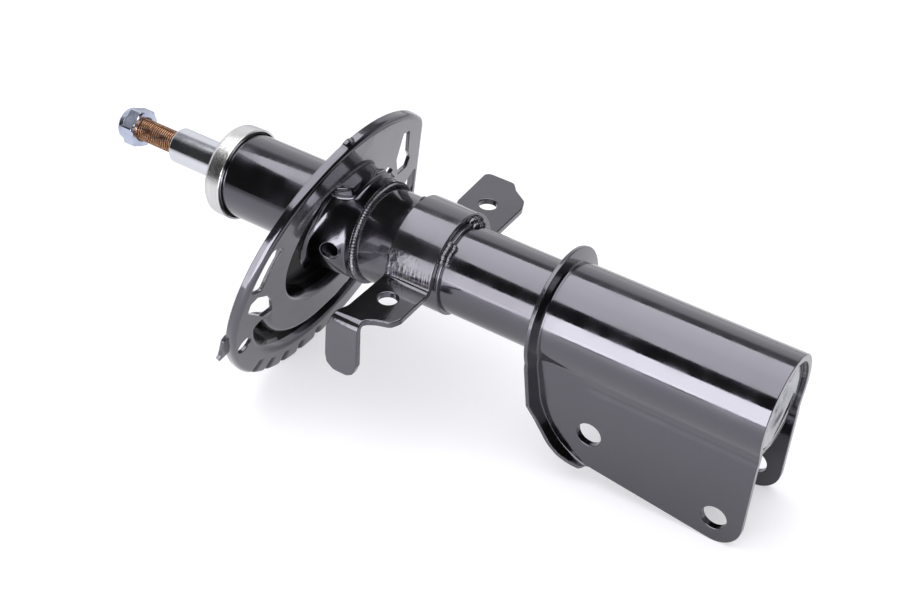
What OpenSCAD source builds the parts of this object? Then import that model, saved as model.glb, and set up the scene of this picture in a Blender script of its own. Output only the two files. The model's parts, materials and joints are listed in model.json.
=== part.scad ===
// Twin-tube suspension strut with a tilted spring seat, a link bracket and a knuckle bracket.
// Every sub-part is drawn upright: Z runs up the strut's axis from the knuckle end to the rod nut,
// +X is the side that faces up when the strut lies down, and -Y is the side with the hooked ear.
// The strut is then laid down round its upper knuckle bolt, which is the origin.

/* [Tube] */
// Outer diameter of the tube
tube_d = 51.5; // [49:0.5:53]
// Wall of the tube
tube_wall = 2.1; // [1.6:0.1:2.6]
// Length of the tube
tube_len = 353.5; // [345:0.5:365]
// Distance from the knuckle bracket's lower edge to the tube's closed end
tube_inset = 2.5; // [1.5:0.5:6]
// Diameter of the upset upper end of the tube
upset_d = 54; // [53.6:0.1:54]
// Length of the upset end
upset_len = 11; // [8:0.5:16]
// Thickness of the lip rolled in over the seal
lip_t = 2.4; // [1.8:0.1:3]
// Bore of the rolled lip
lip_bore = 36; // [30:1:40]
// Thickness of the base cup's floor
cup_t = 3; // [2:0.5:4]
// Height of the base cup's wall
cup_h = 12; // [9:1:16]

/* [Bumper cap] */
// Outer diameter of the bumper cap
cap_d = 56.9; // [56.9:0.1:60]
// Height of the bumper cap
cap_h = 11.8; // [9:0.2:14]
// Sheet thickness of the bumper cap
cap_t = 1.4; // [1:0.1:1.4]
// Hole in the bumper cap for the rod
cap_hole_d = 27; // [25:1:32]
// Outer corner radius of the bumper cap
cap_corner = 2.6; // [1.8:0.1:4]

/* [Rod] */
// Diameter of the piston rod
rod_d = 22; // [20:0.5:22]
// Visible length of the rod from the cap to the shoulder
rod_out = 42.1; // [35:0.5:60]
// Diameter of the threaded stem
stem_d = 13.94; // [12:0.02:14.2]
// Length of the stem from the shoulder to its end
stem_len = 39.5; // [38:0.5:46]
// Distance from the shoulder to the nut
nut_gap = 28.5; // [22:0.5:29]
// Width across flats of the nut
nut_flats = 22; // [21:0.5:24]
// Height of the nut with its collar
nut_h = 14; // [12:0.5:16]
// Turn of the nut round the rod
nut_turn = -7; // [-30:1:30]
// Diameter of the spigot that carries the piston
spigot_d = 12; // [10:0.5:13]

/* [Piston and valves] */
// Bore of the pressure tube
pressure_bore = 32; // [31:0.5:33]
// Wall of the pressure tube
pressure_wall = 1.5; // [1.2:0.1:2]
// Height of the piston
piston_h = 18; // [14:1:22]
// Height of the piston band
band_h = 10; // [6:1:11]
// Radial thickness of the piston band
band_t = 1; // [0.8:0.1:1.5]
// Height of the foot valve's base
foot_base_h = 5; // [4:0.5:7]
// Height of the foot valve's spigot
foot_spigot_h = 8; // [6:0.5:10]
// Thickness of the valve discs
disc_t = 1.2; // [0.8:0.1:1.5]
// Height of the piston nut
piston_nut_h = 8.5; // [7:0.5:10]
// Free height between the foot valve and the rod's end
foot_space = 6; // [6:0.5:12]
// Distance from the piston to the rebound stop
stop_height = 68; // [50:1:68]
// Height of the rebound stop collar
stop_h = 12; // [8:1:13]
// Height of the rebound bumper on the stop
stop_bumper_h = 8; // [5:1:9]
// Height of the rod guide above its spigot
guide_h = 18; // [14:1:19]
// Height of the rod guide's spigot in the pressure tube
guide_spigot_h = 6; // [4:1:7]
// Wall of the guide bush
bush_wall = 1.5; // [1:0.1:2]
// Height of the rod seal
seal_h = 5; // [4:0.5:6]
// Thickness of the washer under the seal
washer_t = 1.5; // [1:0.1:2]

/* [Spring seat] */
// Radius of the seat's rim
seat_r = 88.7; // [87.5:0.1:92]
// Sheet thickness of the seat
seat_t = 2.5; // [2:0.1:2.8]
// Depth of the rim, sheet included
rim_depth = 6; // [4.5:0.5:9]
// Tilt of the seat
seat_tilt = 15; // [12:0.5:17]
// Station where the seat's plane crosses the strut's axis
seat_station = 267.2; // [265:0.2:272]
// Offset of the seat's centre away from the upper side
seat_drop = 11.7; // [10:0.1:14]
// Offset of the seat's centre towards the hooked ear's side
seat_side = 14.8; // [12:0.1:16]
// Distance from the seat's centre to the flat in its rim
flat_dist = 78.5; // [78:0.5:82]
// Angle of the flat in the rim
flat_angle = 72.3; // [68:0.5:78]
// Radius of the central recess
recess_r = 51; // [50:0.5:52]
// Depth of the central recess
recess_depth = 10; // [8:0.5:12]
// Distance from the seat's centre to the straight side of the recess
recess_side = 30; // [27:0.5:34]
// Inner radius of the lower channel
channel_r1 = 59; // [58:0.5:61]
// Outer radius of the lower channel
channel_r2 = 71; // [69:0.5:71]
// Depth of the lower channel
channel_depth = 7; // [5:0.5:7.5]
// Wall of the neck
neck_wall = 2.5; // [2:0.1:3]
// Station of the neck's free end
neck_station = 250; // [248:0.5:252]
// Diameter of the drain openings at the foot of the neck
drain_d = 10; // [8:0.5:11]
// Diameter of the round hole beside the rim
pilot_d = 11; // [9:0.5:12]
// Distance from the rim to the middle of the round hole
pilot_inset = 9.1; // [8.7:0.1:9.3]
// Distance from the rim to the middle of the arc slot
slot_inset = 9.5; // [9:0.1:11]
// Width of the arc slot
slot_w = 9.5; // [6:0.5:10]

/* [Sleeve and link bracket] */
// Wall of the sleeve
sleeve_wall = 2.2; // [1.8:0.1:2.6]
// Length of the sleeve
sleeve_len = 67; // [64:0.5:70]
// Sheet thickness of the link bracket
link_t = 4; // [3:0.5:4.5]
// Width of the link bracket's strap
link_w = 30; // [27:0.5:32]
// Station of the strap's lower edge
link_station = 195.5; // [193:0.5:198]
// Height of the ears' upper face above the strut's axis
ear_top = 1.5; // [0:0.5:3]
// Reach of the hooked ear from the axis
hook_reach = 77.5; // [74:0.5:80]
// Reach of the plain ear from the axis
plain_reach = 88; // [84:0.5:90]
// Diameter of the link holes
link_hole_d = 11; // [9:0.5:12]
// Distance of the hooked ear's hole from the axis
hook_hole_y = 48.7; // [46:0.5:52]
// Distance of the plain ear's hole from the axis
plain_hole_y = 59.4; // [56:0.5:63]
// Depth of the downturned tab below the ears
tab_depth = 34.5; // [28:0.5:38]
// Outer bend radius of the tab
tab_bend = 6; // [5:0.5:8]
// Radius in the corner between the strap and the ears
link_fillet = 3; // [2:0.5:5]

/* [Knuckle bracket] */
// Sheet thickness of the knuckle bracket
clamp_t = 4.2; // [3.6:0.1:4.8]
// Length of the clamp without its flare
clamp_len = 123; // [121:0.5:126]
// Distance between the ears' inner faces
ear_gap = 47.2; // [45:0.2:49]
// Depth of the ears at the lower corner, from the axis
ear_depth = 80.6; // [78:0.2:84]
// Radius of the ears' lower corner
corner_r = 14.5; // [12:0.5:16]
// Radius of the ears' upper corner
shoulder_r = 28; // [26:0.5:30]
// Distance of the upper corner's centre from the axis
shoulder_drop = 42.6; // [41:0.2:45]
// Reach of the flare from the axis
flare_r = 38; // [37.5:0.5:39.5]
// Angle through which the flare is bent
flare_bend = 75; // [71:1:78]
// Inner radius of the flare's bend
flare_bend_r = 3; // [2.6:0.1:3.5]
// Diameter of the knuckle bolt holes
bolt_d = 14.5; // [12.5:0.1:15]
// Station of the upper bolt hole
bolt_station = 92.6; // [91:0.1:95]
// Distance of the upper bolt hole from the axis
bolt_drop = 48.8; // [47:0.1:50]
// Station of the lower bolt hole
low_bolt_station = 15.9; // [15:0.1:17]
// Distance of the lower bolt hole from the axis
low_bolt_drop = 64.9; // [63:0.1:66]
// Sheet thickness of the saddle plate
saddle_t = 3.5; // [3:0.1:4]

/* [Fits] */
// Radial clearance of the rod in its guide and of the piston band in its tube
running_gap = 0.03; // [0.02:0.01:0.08]
// Clearance between parts that are pressed or welded together
seat_gap = 0.04; // [0.02:0.01:0.08]
// Clearance between the tube and the knuckle bracket
clamp_gap = 0.25; // [0.1:0.05:0.3]
// Clearance between the piston band and its groove
band_gap = 0.12; // [0.08:0.01:0.2]

/* [Hidden] */
$fn = 96;

// Overlap of a cutting shape past the face that it cuts
cut = 1;

// Tube and cap
tube_r = tube_d / 2;
tube_bore_r = tube_r - tube_wall;
tube_top = tube_inset + tube_len;
tube_chamfer = 1.5;
upset_r = upset_d / 2;
upset_cone = 6;
cap_r = cap_d / 2;
cap_top = tube_top + cap_t;
cap_open = cap_top - cap_h;
cap_inner_corner = cap_corner - cap_t;
upset_chamfer = cap_inner_corner + 0.3;

// Base cup and foot valve
cup_top = tube_inset + cup_h;
cup_dish = 3;
cup_dish_r1 = tube_bore_r * 0.55;
cup_dish_r2 = tube_bore_r * 0.85;
foot_z = tube_inset + cup_dish + cup_t;
foot_shoulder = foot_z + foot_base_h;
foot_top = foot_shoulder + foot_spigot_h;
foot_pin_r = 3;
foot_head_r = 5;
foot_head_h = 2;
foot_recess_r = foot_head_r + 0.5;
foot_pin_top = foot_top + disc_t + foot_head_h;
foot_disc_r = 12.5;
foot_hole_r = 2;
foot_hole_ring = 9;
port_count = 6;
pressure_r = pressure_bore / 2;
pressure_outer_r = pressure_r + pressure_wall;

// Rod guide and seal
seal_top = tube_top - lip_t;
seal_bottom = seal_top - seal_h;
guide_top = seal_bottom - washer_t;
guide_shoulder = guide_top - guide_h;
guide_bottom = guide_shoulder - guide_spigot_h;
guide_r = tube_bore_r - seat_gap;
washer_gap = 1;

// Rod
rod_r = rod_d / 2;
rod_bore_r = rod_r + running_gap;
bush_r = rod_bore_r + bush_wall;
stem_r = stem_d / 2;
spigot_r = spigot_d / 2;
shoulder = cap_top + rod_out;
rod_end = shoulder + stem_len;
shoulder_chamfer = 0.8;
end_chamfer = 1.2;

// Piston and its stack, from the rod's lower end up
spigot_end = foot_pin_top + foot_space;
piston_nut_z = spigot_end + end_chamfer;
rebound_disc_z = piston_nut_z + piston_nut_h;
piston_z = rebound_disc_z + disc_t;
piston_top = piston_z + piston_h;
rod_bottom = piston_top + disc_t;
piston_r = pressure_r - 0.35;
piston_port_r = 1.3;
piston_port_ring = 12;
disc_r = piston_port_ring + piston_port_r + 0.5;
stack_bore_r = spigot_r + seat_gap;
band_r2 = pressure_r - running_gap;
band_r1 = band_r2 - band_t;
band_z = piston_z + (piston_h - band_h) / 2;
piston_nut_flats = 19;
stop_z = piston_top + stop_height;
stop_r = pressure_r - 1.4;
stop_bumper_r = pressure_r - 1;

// Rod nut
nut_z = shoulder + nut_gap;
nut_bore_r = stem_r + seat_gap;
nut_corner_r = nut_flats / 2 / cos(30);
nut_hex_h = nut_h * 0.66;
nut_chamfer = 1;
nut_collar_r = nut_flats / 2 - 1;
nut_dome = 2;
insert_r = stem_r + 1.5;
insert_h = 3;
insert_z = nut_z + nut_h - 1 - insert_h;

// Sleeve, neck and seat
sleeve_r = tube_r + sleeve_wall;
sleeve_z = link_station - 2.5;
neck_bore_r = sleeve_r + seat_gap;
neck_r = neck_bore_r + neck_wall;
neck_straight = 6;
neck_flare_z = neck_station + neck_straight;
recess_u = 18;
recess_v = 4;
recess_angle = 40;
recess_floor = recess_depth + seat_t;
flare_foot_r = neck_r + 6;
flare_top = seat_station + recess_floor + flare_foot_r * tan(seat_tilt);
drain_station = neck_station + 11.8;
drain_angles = [-88, 39, 165];
channel_from = 115;
channel_to = 255;
slot_from = 283;
slot_to = 304;
pilot_angle = 250;
pilot_r = seat_r - pilot_inset;
slot_r = seat_r - slot_inset;
// Openings in the annulus, drawn for a rim of this radius and scaled with it
drawn_r = 88.7;
d_hole = [[3, -80], [10, -79.5], [12, -74.5], [6, -64], [-2, -58.5], [-12, -55], [-11.2, -64]];
upper_slit = [[65, 40.5], [64, 46.5], [43, 54], [36.5, 58.5], [29, 58.5], [28, 50], [44, 42.3]];
side_slit = [[19.5, 70], [18.5, 72.4], [-4, 79.3], [-6, 72], [8, 62]];
notch_count = 5;
notch_first = 173;
notch_step = 11.8;
notch_r = 1.8;
notch_depth = 0.9;
notch_len = 9;
nib_angle = -10;
nib_r = 3;
spout_angle = 262.5;
spout_len = 14;
spout_w = 5;

// Link bracket
link_r1 = sleeve_r + seat_gap;
link_r2 = link_r1 + link_t;
link_top = link_station + link_w;
ear_low = ear_top - link_t;
ear_root = link_r1 + link_t / 2;
tab_y = hook_reach - tab_bend;
tab_x = ear_top - tab_bend;
tab_low = ear_low - tab_depth;
tab_z1 = link_station + 15;
tab_z2 = link_top - 1;
tab_z3 = link_top + 6;
hook_hole_z = link_station + 15.1;
plain_hole_z = link_station + 19.4;

// Knuckle bracket
clamp_r1 = tube_r + clamp_gap;
clamp_r2 = clamp_r1 + clamp_t;
ear_y1 = ear_gap / 2;
ear_y2 = ear_y1 + clamp_t;
corner_x = corner_r - ear_depth;
corner_z = corner_r;
shoulder_x = -shoulder_drop;
shoulder_z = clamp_len + 3 - shoulder_r;
edge_dx = shoulder_x - corner_x;
edge_dz = shoulder_z - corner_z;
edge_angle = atan2(edge_dx, edge_dz) - asin((shoulder_r - corner_r) / norm([edge_dx, edge_dz]));
flare_arc_r = flare_bend_r + clamp_t;
flare_centre = clamp_r2 + flare_bend_r;
flare_len = (flare_r - flare_centre + flare_bend_r * cos(flare_bend)) / sin(flare_bend);
flare_sweep = 230;
flare_end_x = flare_r * cos(flare_sweep / 2);
flare_end_y = flare_r * sin(flare_sweep / 2);
lip_start = -clamp_r1 * 0.46;
lip_root = 0.3;
lip_sweep = 92;
lip_rise = 4;
lip_out = 5.2;
saddle_r1 = clamp_r1;
saddle_r2 = saddle_r1 + saddle_t;
saddle_y = ear_y1 - seat_gap;
saddle_x = -clamp_r1 * 0.45;

// Welds: size of the beads, and the first and last angle of each stitch
seat_bead = 3.5;
link_bead = 4;
clamp_bead = 4.5;
link_stitches = [[-56, -26], [10, 40], [150, 185]];
strap_stitches = [[8, 26]];
clamp_stitches = [[-85, -40], [-20, 20], [40, 85]];

// Lean at which the ears' lower corners and the seat's rim rest on one level
seat_low_x = -(seat_drop + seat_r) * cos(seat_tilt);
seat_low_z = seat_station + (seat_drop + seat_r) * sin(seat_tilt);
rest_dx = corner_x - seat_low_x;
rest_dz = seat_low_z - corner_z;
lean = acos(corner_r / norm([rest_dx, rest_dz])) - atan2(rest_dz, rest_dx);

module lie_down() {
    rotate([0, lean - 90, 0])
        translate([bolt_drop, 0, -bolt_station])
            children();
}

module ring(r1, r2, z1, z2) {
    difference() {
        translate([0, 0, z1])
            cylinder(r = r2, h = z2 - z1);
        translate([0, 0, z1 - cut])
            cylinder(r = r1, h = z2 - z1 + 2 * cut);
    }
}

// Turns a section through an angle from "from" to "to", counted from +X towards +Y
module sweep(from, to) {
    rotate([0, 0, from])
        rotate_extrude(angle = to - from)
            children();
}

module ring_sector(r1, r2, z1, z2, from, to) {
    sweep(from, to)
        translate([r1, z1])
            square([r2 - r1, z2 - z1]);
}

// Section of a fillet bead on a cylinder of radius r, below a face at station z
module bead_section(r, z, size) {
    translate([r + seat_gap, z])
        intersection() {
            circle(r = size);
            translate([0, -size])
                square(size);
        }
}

// Plate whose outline is drawn as [height, station], its middle at the given Y
module side_plate(y, t) {
    translate([0, y, 0])
        rotate([90, 0, 0])
            linear_extrude(height = t, center = true)
                children();
}

// Plate whose outline is drawn as [reach, station], its underside at the given height
module flat_plate(x, t) {
    translate([x, 0, 0])
        rotate([90, 0, 90])
            linear_extrude(height = t)
                children();
}

module strut_tube() {
    color([0.05, 0.05, 0.055])
        lie_down()
            rotate_extrude()
                polygon([
                    [tube_bore_r, tube_inset],
                    [tube_r - tube_chamfer, tube_inset],
                    [tube_r, tube_inset + tube_chamfer],
                    [tube_r, tube_top - upset_len - upset_cone],
                    [upset_r, tube_top - upset_len],
                    [upset_r, tube_top - upset_chamfer],
                    [upset_r - upset_chamfer, tube_top],
                    [lip_bore / 2, tube_top],
                    [lip_bore / 2, seal_top],
                    [tube_bore_r, seal_top]
                ]);
}

module base_cup() {
    cup_r = tube_bore_r - seat_gap;
    color([0.72, 0.73, 0.75])
        lie_down()
            rotate_extrude()
                polygon([
                    [0, tube_inset + cup_dish],
                    [cup_dish_r1, tube_inset + cup_dish],
                    [cup_dish_r2, tube_inset],
                    [cup_r, tube_inset],
                    [cup_r, cup_top],
                    [cup_r - cup_t, cup_top],
                    [cup_r - cup_t, foot_z],
                    [0, foot_z]
                ]);
}

module pressure_tube() {
    color([0.6, 0.61, 0.63])
        lie_down()
            ring(pressure_r, pressure_outer_r, foot_shoulder, guide_shoulder);
}

module foot_valve() {
    bottom = foot_z - cut;
    height = foot_top - foot_z + 2 * cut;
    color([0.45, 0.45, 0.47])
        lie_down()
            difference() {
                union() {
                    translate([0, 0, foot_z])
                        cylinder(r = pressure_outer_r, h = foot_base_h);
                    translate([0, 0, foot_shoulder])
                        cylinder(r = pressure_r - seat_gap, h = foot_spigot_h);
                }
                translate([0, 0, bottom])
                    cylinder(r = foot_pin_r + seat_gap, h = height);
                translate([0, 0, bottom])
                    cylinder(r = foot_recess_r, h = foot_head_h + cut);
                for (i = [0 : port_count - 1])
                    rotate([0, 0, i * 360 / port_count])
                        translate([foot_hole_ring, 0, bottom])
                            cylinder(r = foot_hole_r, h = height);
            }
}

module foot_valve_disc() {
    color([0.7, 0.7, 0.72])
        lie_down()
            ring(foot_pin_r + seat_gap, foot_disc_r, foot_top, foot_top + disc_t);
}

module foot_valve_pin() {
    color([0.65, 0.65, 0.68])
        lie_down() {
            translate([0, 0, foot_z])
                cylinder(r = foot_head_r, h = foot_head_h);
            translate([0, 0, foot_z])
                cylinder(r = foot_pin_r, h = foot_pin_top - foot_z);
            translate([0, 0, foot_top + disc_t])
                cylinder(r1 = foot_head_r, r2 = foot_head_r - cut, h = foot_head_h);
        }
}

module rod_guide() {
    color([0.4, 0.4, 0.42])
        lie_down()
            difference() {
                union() {
                    translate([0, 0, guide_bottom])
                        cylinder(r = pressure_r - seat_gap, h = guide_spigot_h);
                    translate([0, 0, guide_shoulder])
                        cylinder(r = guide_r, h = guide_h);
                }
                translate([0, 0, guide_bottom - cut])
                    cylinder(r = bush_r + seat_gap, h = guide_top - guide_bottom + 2 * cut);
            }
}

module guide_bush() {
    color([0.6, 0.5, 0.3])
        lie_down()
            ring(rod_bore_r, bush_r, guide_bottom, guide_top);
}

module seal_washer() {
    color([0.6, 0.6, 0.62])
        lie_down()
            ring(rod_r + washer_gap, guide_r, guide_top, seal_bottom);
}

module rod_seal() {
    color([0.06, 0.06, 0.06])
        lie_down()
            ring(rod_bore_r, guide_r, seal_bottom, seal_top);
}

module bumper_cap() {
    color([0.8, 0.81, 0.82])
        lie_down()
            rotate_extrude() {
                translate([cap_hole_d / 2, tube_top])
                    square([cap_r - cap_corner - cap_hole_d / 2, cap_t]);
                translate([cap_r - cap_t, cap_open])
                    square([cap_t, cap_h - cap_corner]);
                translate([cap_r - cap_corner, cap_top - cap_corner])
                    intersection() {
                        difference() {
                            circle(r = cap_corner);
                            circle(r = cap_inner_corner);
                        }
                        square(cap_corner);
                    }
            }
}

module seat_sleeve() {
    color([0.05, 0.05, 0.055])
        lie_down()
            ring(tube_r + seat_gap, sleeve_r, sleeve_z, sleeve_z + sleeve_len);
}

// The seat's own frame: X up its face, Y across it, Z square to it, towards the nut
module seat_frame() {
    translate([0, 0, seat_station])
        rotate([0, seat_tilt, 0])
            translate([-seat_drop, -seat_side, 0])
                children();
}

// Round outline with the flat, drawn in by an inset
module seat_outline(inset) {
    intersection() {
        circle(r = seat_r - inset);
        rotate([0, 0, flat_angle])
            translate([-2 * seat_r, -seat_r])
                square([2 * seat_r + flat_dist - inset, 2 * seat_r]);
    }
}

// Round outline of the recess, cut off straight towards the flat side, grown by a margin
module recess_outline(grow) {
    intersection() {
        translate([recess_u, recess_v])
            circle(r = recess_r + grow);
        rotate([0, 0, recess_angle])
            translate([-2 * seat_r, -2 * seat_r])
                square([2 * seat_r + recess_side + grow, 4 * seat_r]);
    }
}

// Raised backs of the channel and of the recess, in one piece with the annulus
module seat_backs() {
    back_r1 = channel_r1 - seat_t;
    back_r2 = channel_r2 + seat_t;
    ring_sector(back_r1, back_r2, 0, channel_depth + seat_t, channel_from, channel_to);
    linear_extrude(height = recess_floor)
        recess_outline(seat_t);
}

module seat_dish() {
    difference() {
        union() {
            linear_extrude(height = seat_t)
                seat_outline(0);
            linear_extrude(height = rim_depth)
                difference() {
                    seat_outline(0);
                    seat_outline(seat_t);
                }
            seat_backs();
            rotate([0, 0, nib_angle])
                translate([seat_r - cut, 0, 0])
                    cylinder(r = nib_r, h = rim_depth);
            rotate([0, 0, spout_angle])
                translate([seat_r - seat_t, -spout_w / 2, 0])
                    cube([spout_len + seat_t, spout_w, seat_t]);
        }
        ring_sector(channel_r1, channel_r2, -cut, channel_depth, channel_from, channel_to - 2);
        translate([0, 0, -cut])
            linear_extrude(height = recess_depth + cut)
                recess_outline(0);
    }
}

module seat_holes() {
    hole_top = recess_floor + cut;
    ring_sector(slot_r - slot_w / 2, slot_r + slot_w / 2, -cut, hole_top, slot_from, slot_to);
    translate([0, 0, -cut])
        for (opening = [d_hole, upper_slit, side_slit])
            linear_extrude(height = hole_top + cut)
                polygon(opening * seat_r / drawn_r);
    rotate([0, 0, pilot_angle])
        translate([pilot_r, 0, -cut])
            cylinder(d = pilot_d, h = hole_top + cut);
    for (i = [0 : notch_count - 1])
        rotate([0, 0, notch_first + i * notch_step])
            translate([seat_r - notch_len, 0, notch_depth - notch_r])
                rotate([0, 90, 0])
                    cylinder(r = notch_r, h = notch_len + cut);
}

// Neck drawn in by an inset: straight on the sleeve, then flared out to the floor of the recess
module seat_neck(inset, z1) {
    rotate_extrude()
        polygon([
            [0, z1],
            [neck_r - inset, z1],
            [neck_r - inset, neck_flare_z],
            [flare_foot_r - inset, flare_top],
            [0, flare_top]
        ]);
}

// Room for the neck: up to the back of the sheet, and inside the recess up to the back of its floor
module neck_room() {
    translate([0, 0, seat_t - 3 * seat_r])
        cylinder(r = seat_r, h = 3 * seat_r);
    linear_extrude(height = recess_floor)
        recess_outline(seat_t / 2);
}

module spring_seat() {
    color([0.05, 0.05, 0.055])
        lie_down()
            difference() {
                union() {
                    seat_frame()
                        seat_dish();
                    intersection() {
                        seat_neck(0, neck_station);
                        seat_frame()
                            neck_room();
                    }
                }
                seat_neck(neck_wall, neck_station - cut);
                seat_frame()
                    seat_holes();
                for (a = drain_angles)
                    rotate([0, 0, a])
                        translate([neck_bore_r - drain_d / 2, 0, drain_station])
                            rotate([0, 90, 0])
                                cylinder(d = drain_d, h = drain_d + neck_wall);
            }
}

module seat_weld() {
    color([0.16, 0.16, 0.17])
        lie_down()
            rotate_extrude()
                bead_section(sleeve_r, neck_station, seat_bead);
}

module link_strap() {
    difference() {
        ring(link_r1, link_r2, link_station, link_top);
        translate([ear_low - 2 * link_r2, -2 * link_r2, link_station - cut])
            cube([2 * link_r2, 4 * link_r2, link_w + 2 * cut]);
    }
}

// Rounded corner between the strap and an ear on the +Y side
module link_corner() {
    translate([ear_top - link_t / 2, link_r2 - link_t / 2, link_station])
        linear_extrude(height = link_w - 1)
            difference() {
                square(link_t / 2 + link_fillet);
                translate([link_t / 2 + link_fillet, link_t / 2 + link_fillet])
                    circle(r = link_fillet);
            }
}

module hooked_ear() {
    flat_plate(ear_low, link_t)
        polygon([
            [-ear_root, link_station],
            [-hook_reach + 17, link_station - 0.7],
            [-hook_reach + 12, link_station + 2.2],
            [-hook_reach + 10.5, link_station + 9],
            [-hook_reach + 7.5, link_station + 13.5],
            [-tab_y, tab_z1],
            [-tab_y, tab_z2],
            [-ear_root, tab_z2]
        ]);
    translate([tab_x, -tab_y, tab_z1])
        rotate([0, 0, -90])
            rotate_extrude(angle = 90)
                translate([tab_bend - link_t, 0])
                    square([link_t, tab_z2 - tab_z1]);
    side_plate(-hook_reach + link_t / 2, link_t)
        polygon([
            [tab_x, tab_z1],
            [tab_low + 8.5, tab_z1],
            [tab_low + 2, tab_z1 + 3],
            [tab_low, tab_z1 + 7],
            [tab_low, tab_z3 - 6],
            [tab_low + 4, tab_z3 - 1],
            [tab_low + 9, tab_z3],
            [tab_x - 9, tab_z3],
            [tab_x, tab_z2]
        ]);
}

module plain_ear() {
    flat_plate(ear_low, link_t)
        polygon([
            [ear_root, link_station],
            [plain_reach - 20, link_station + 1.2],
            [plain_reach - 12.5, link_station + 4.5],
            [plain_reach - 6.5, link_station + 13.5],
            [plain_reach, link_station + 18.5],
            [plain_reach, link_top + 5],
            [plain_reach - 2, link_top + 8],
            [plain_reach - 36, link_top + 6],
            [ear_root, link_top]
        ]);
}

module link_bracket() {
    color([0.05, 0.05, 0.055])
        lie_down()
            difference() {
                union() {
                    link_strap();
                    hooked_ear();
                    plain_ear();
                    for (side = [0, 1])
                        mirror([0, side, 0])
                            link_corner();
                }
                translate([0, 0, link_station - cut])
                    cylinder(r = link_r1, h = link_w + 2 * cut);
                for (h = [[-hook_hole_y, hook_hole_z], [plain_hole_y, plain_hole_z]])
                    translate([ear_low - cut, h[0], h[1]])
                        rotate([0, 90, 0])
                            cylinder(d = link_hole_d, h = link_t + 2 * cut);
            }
}

module link_bracket_welds() {
    color([0.16, 0.16, 0.17])
        lie_down() {
            for (s = link_stitches)
                sweep(s[0], s[1]) {
                    bead_section(tube_r, sleeve_z, link_bead);
                    bead_section(sleeve_r, link_station, link_bead);
                }
            for (s = strap_stitches)
                translate([0, 0, 2 * link_top])
                    mirror([0, 0, 1])
                        sweep(s[0], s[1])
                            bead_section(sleeve_r, link_top, link_bead);
        }
}

// Section of the clamp: three quarters of a ring that run out into two parallel ears
module clamp_section() {
    difference() {
        union() {
            circle(r = clamp_r2);
            translate([-ear_depth - cut, -ear_y2])
                square([ear_depth + cut, 2 * ear_y2]);
        }
        circle(r = clamp_r1);
        translate([-ear_depth - 2 * cut, -ear_y1])
            square([ear_depth + 2 * cut, 2 * ear_y1]);
    }
}

// Side view of the clamp as [height, station], with the ears' rounded corners
module clamp_outline() {
    translate([corner_x, corner_z])
        circle(r = corner_r);
    translate([shoulder_x, shoulder_z])
        circle(r = shoulder_r);
    polygon([
        [clamp_r2 + cut, 0],
        [clamp_r2 + cut, clamp_len],
        [-clamp_r1 * 0.6, clamp_len],
        [shoulder_x, shoulder_z + shoulder_r],
        [shoulder_x - shoulder_r * cos(edge_angle), shoulder_z + shoulder_r * sin(edge_angle)],
        [corner_x - corner_r * cos(edge_angle), corner_z + corner_r * sin(edge_angle)],
        [corner_x, 0]
    ]);
}

// Section of the flare as [radius, station]: a bend and the straight edge after it
module flare_section() {
    translate([flare_centre, clamp_len])
        rotate([0, 0, -flare_bend]) {
            translate([-flare_arc_r, 0])
                square([clamp_t, flare_len]);
            intersection() {
                difference() {
                    circle(r = flare_arc_r);
                    circle(r = flare_bend_r);
                }
                polygon([
                    [0, 0],
                    [-2 * flare_arc_r, 0],
                    [-2 * flare_arc_r, -4 * flare_arc_r],
                    [-2 * flare_arc_r * cos(flare_bend), -2 * flare_arc_r * sin(flare_bend)]
                ]);
            }
        }
}

// Flare along the straight part of one ear, tapered towards the shoulder
module ear_flare() {
    intersection() {
        translate([shoulder_x, ear_y2 - clamp_r2 + lip_root, 0])
            rotate([90, 0, 90])
                linear_extrude(height = lip_start - shoulder_x)
                    flare_section();
        linear_extrude(height = 2 * clamp_len)
            polygon([
                [lip_start, 0],
                [lip_start, flare_end_y + lip_root],
                [flare_end_x, flare_end_y + lip_root],
                [shoulder_x, ear_y2 + lip_out],
                [shoulder_x, 0]
            ]);
    }
}

// Section of the lip round an ear's shoulder, as [distance from the corner's centre, reach]
module lip_section() {
    polygon([
        [shoulder_r - lip_rise, ear_y1 + clamp_t / 2],
        [shoulder_r - lip_root, ear_y1 + lip_root],
        [shoulder_r + lip_rise, ear_y2 + lip_out * 0.6],
        [shoulder_r + lip_root, ear_y2 + lip_out],
        [shoulder_r - lip_rise, ear_y2 - clamp_t / 4]
    ]);
}

module shoulder_lip() {
    translate([shoulder_x, 0, shoulder_z])
        rotate([90, 0, 0])
            mirror([0, 0, 1]) {
                sweep(90, 90 + lip_sweep)
                    lip_section();
                rotate([90, 0, 90])
                    linear_extrude(height = lip_start - shoulder_x)
                        lip_section();
            }
}

module knuckle_bracket() {
    color([0.05, 0.05, 0.055])
        lie_down()
            difference() {
                union() {
                    intersection() {
                        linear_extrude(height = 2 * clamp_len)
                            clamp_section();
                        side_plate(0, 2 * clamp_r2 + 2 * cut)
                            clamp_outline();
                    }
                    sweep(-flare_sweep / 2, flare_sweep / 2)
                        flare_section();
                    for (side = [0, 1])
                        mirror([0, side, 0]) {
                            ear_flare();
                            shoulder_lip();
                        }
                }
                for (b = [[-bolt_drop, bolt_station], [-low_bolt_drop, low_bolt_station]])
                    translate([b[0], 0, b[1]])
                        rotate([90, 0, 0])
                            cylinder(d = bolt_d, h = 2 * ear_y2 + 2 * cut, center = true);
            }
}

module saddle_plate() {
    color([0.05, 0.05, 0.055])
        lie_down()
            intersection() {
                ring(saddle_r1, saddle_r2, tube_inset, clamp_len);
                translate([-2 * saddle_r2, -saddle_y, 0])
                    cube([2 * saddle_r2 + saddle_x, 2 * saddle_y, clamp_len]);
            }
}

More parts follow.
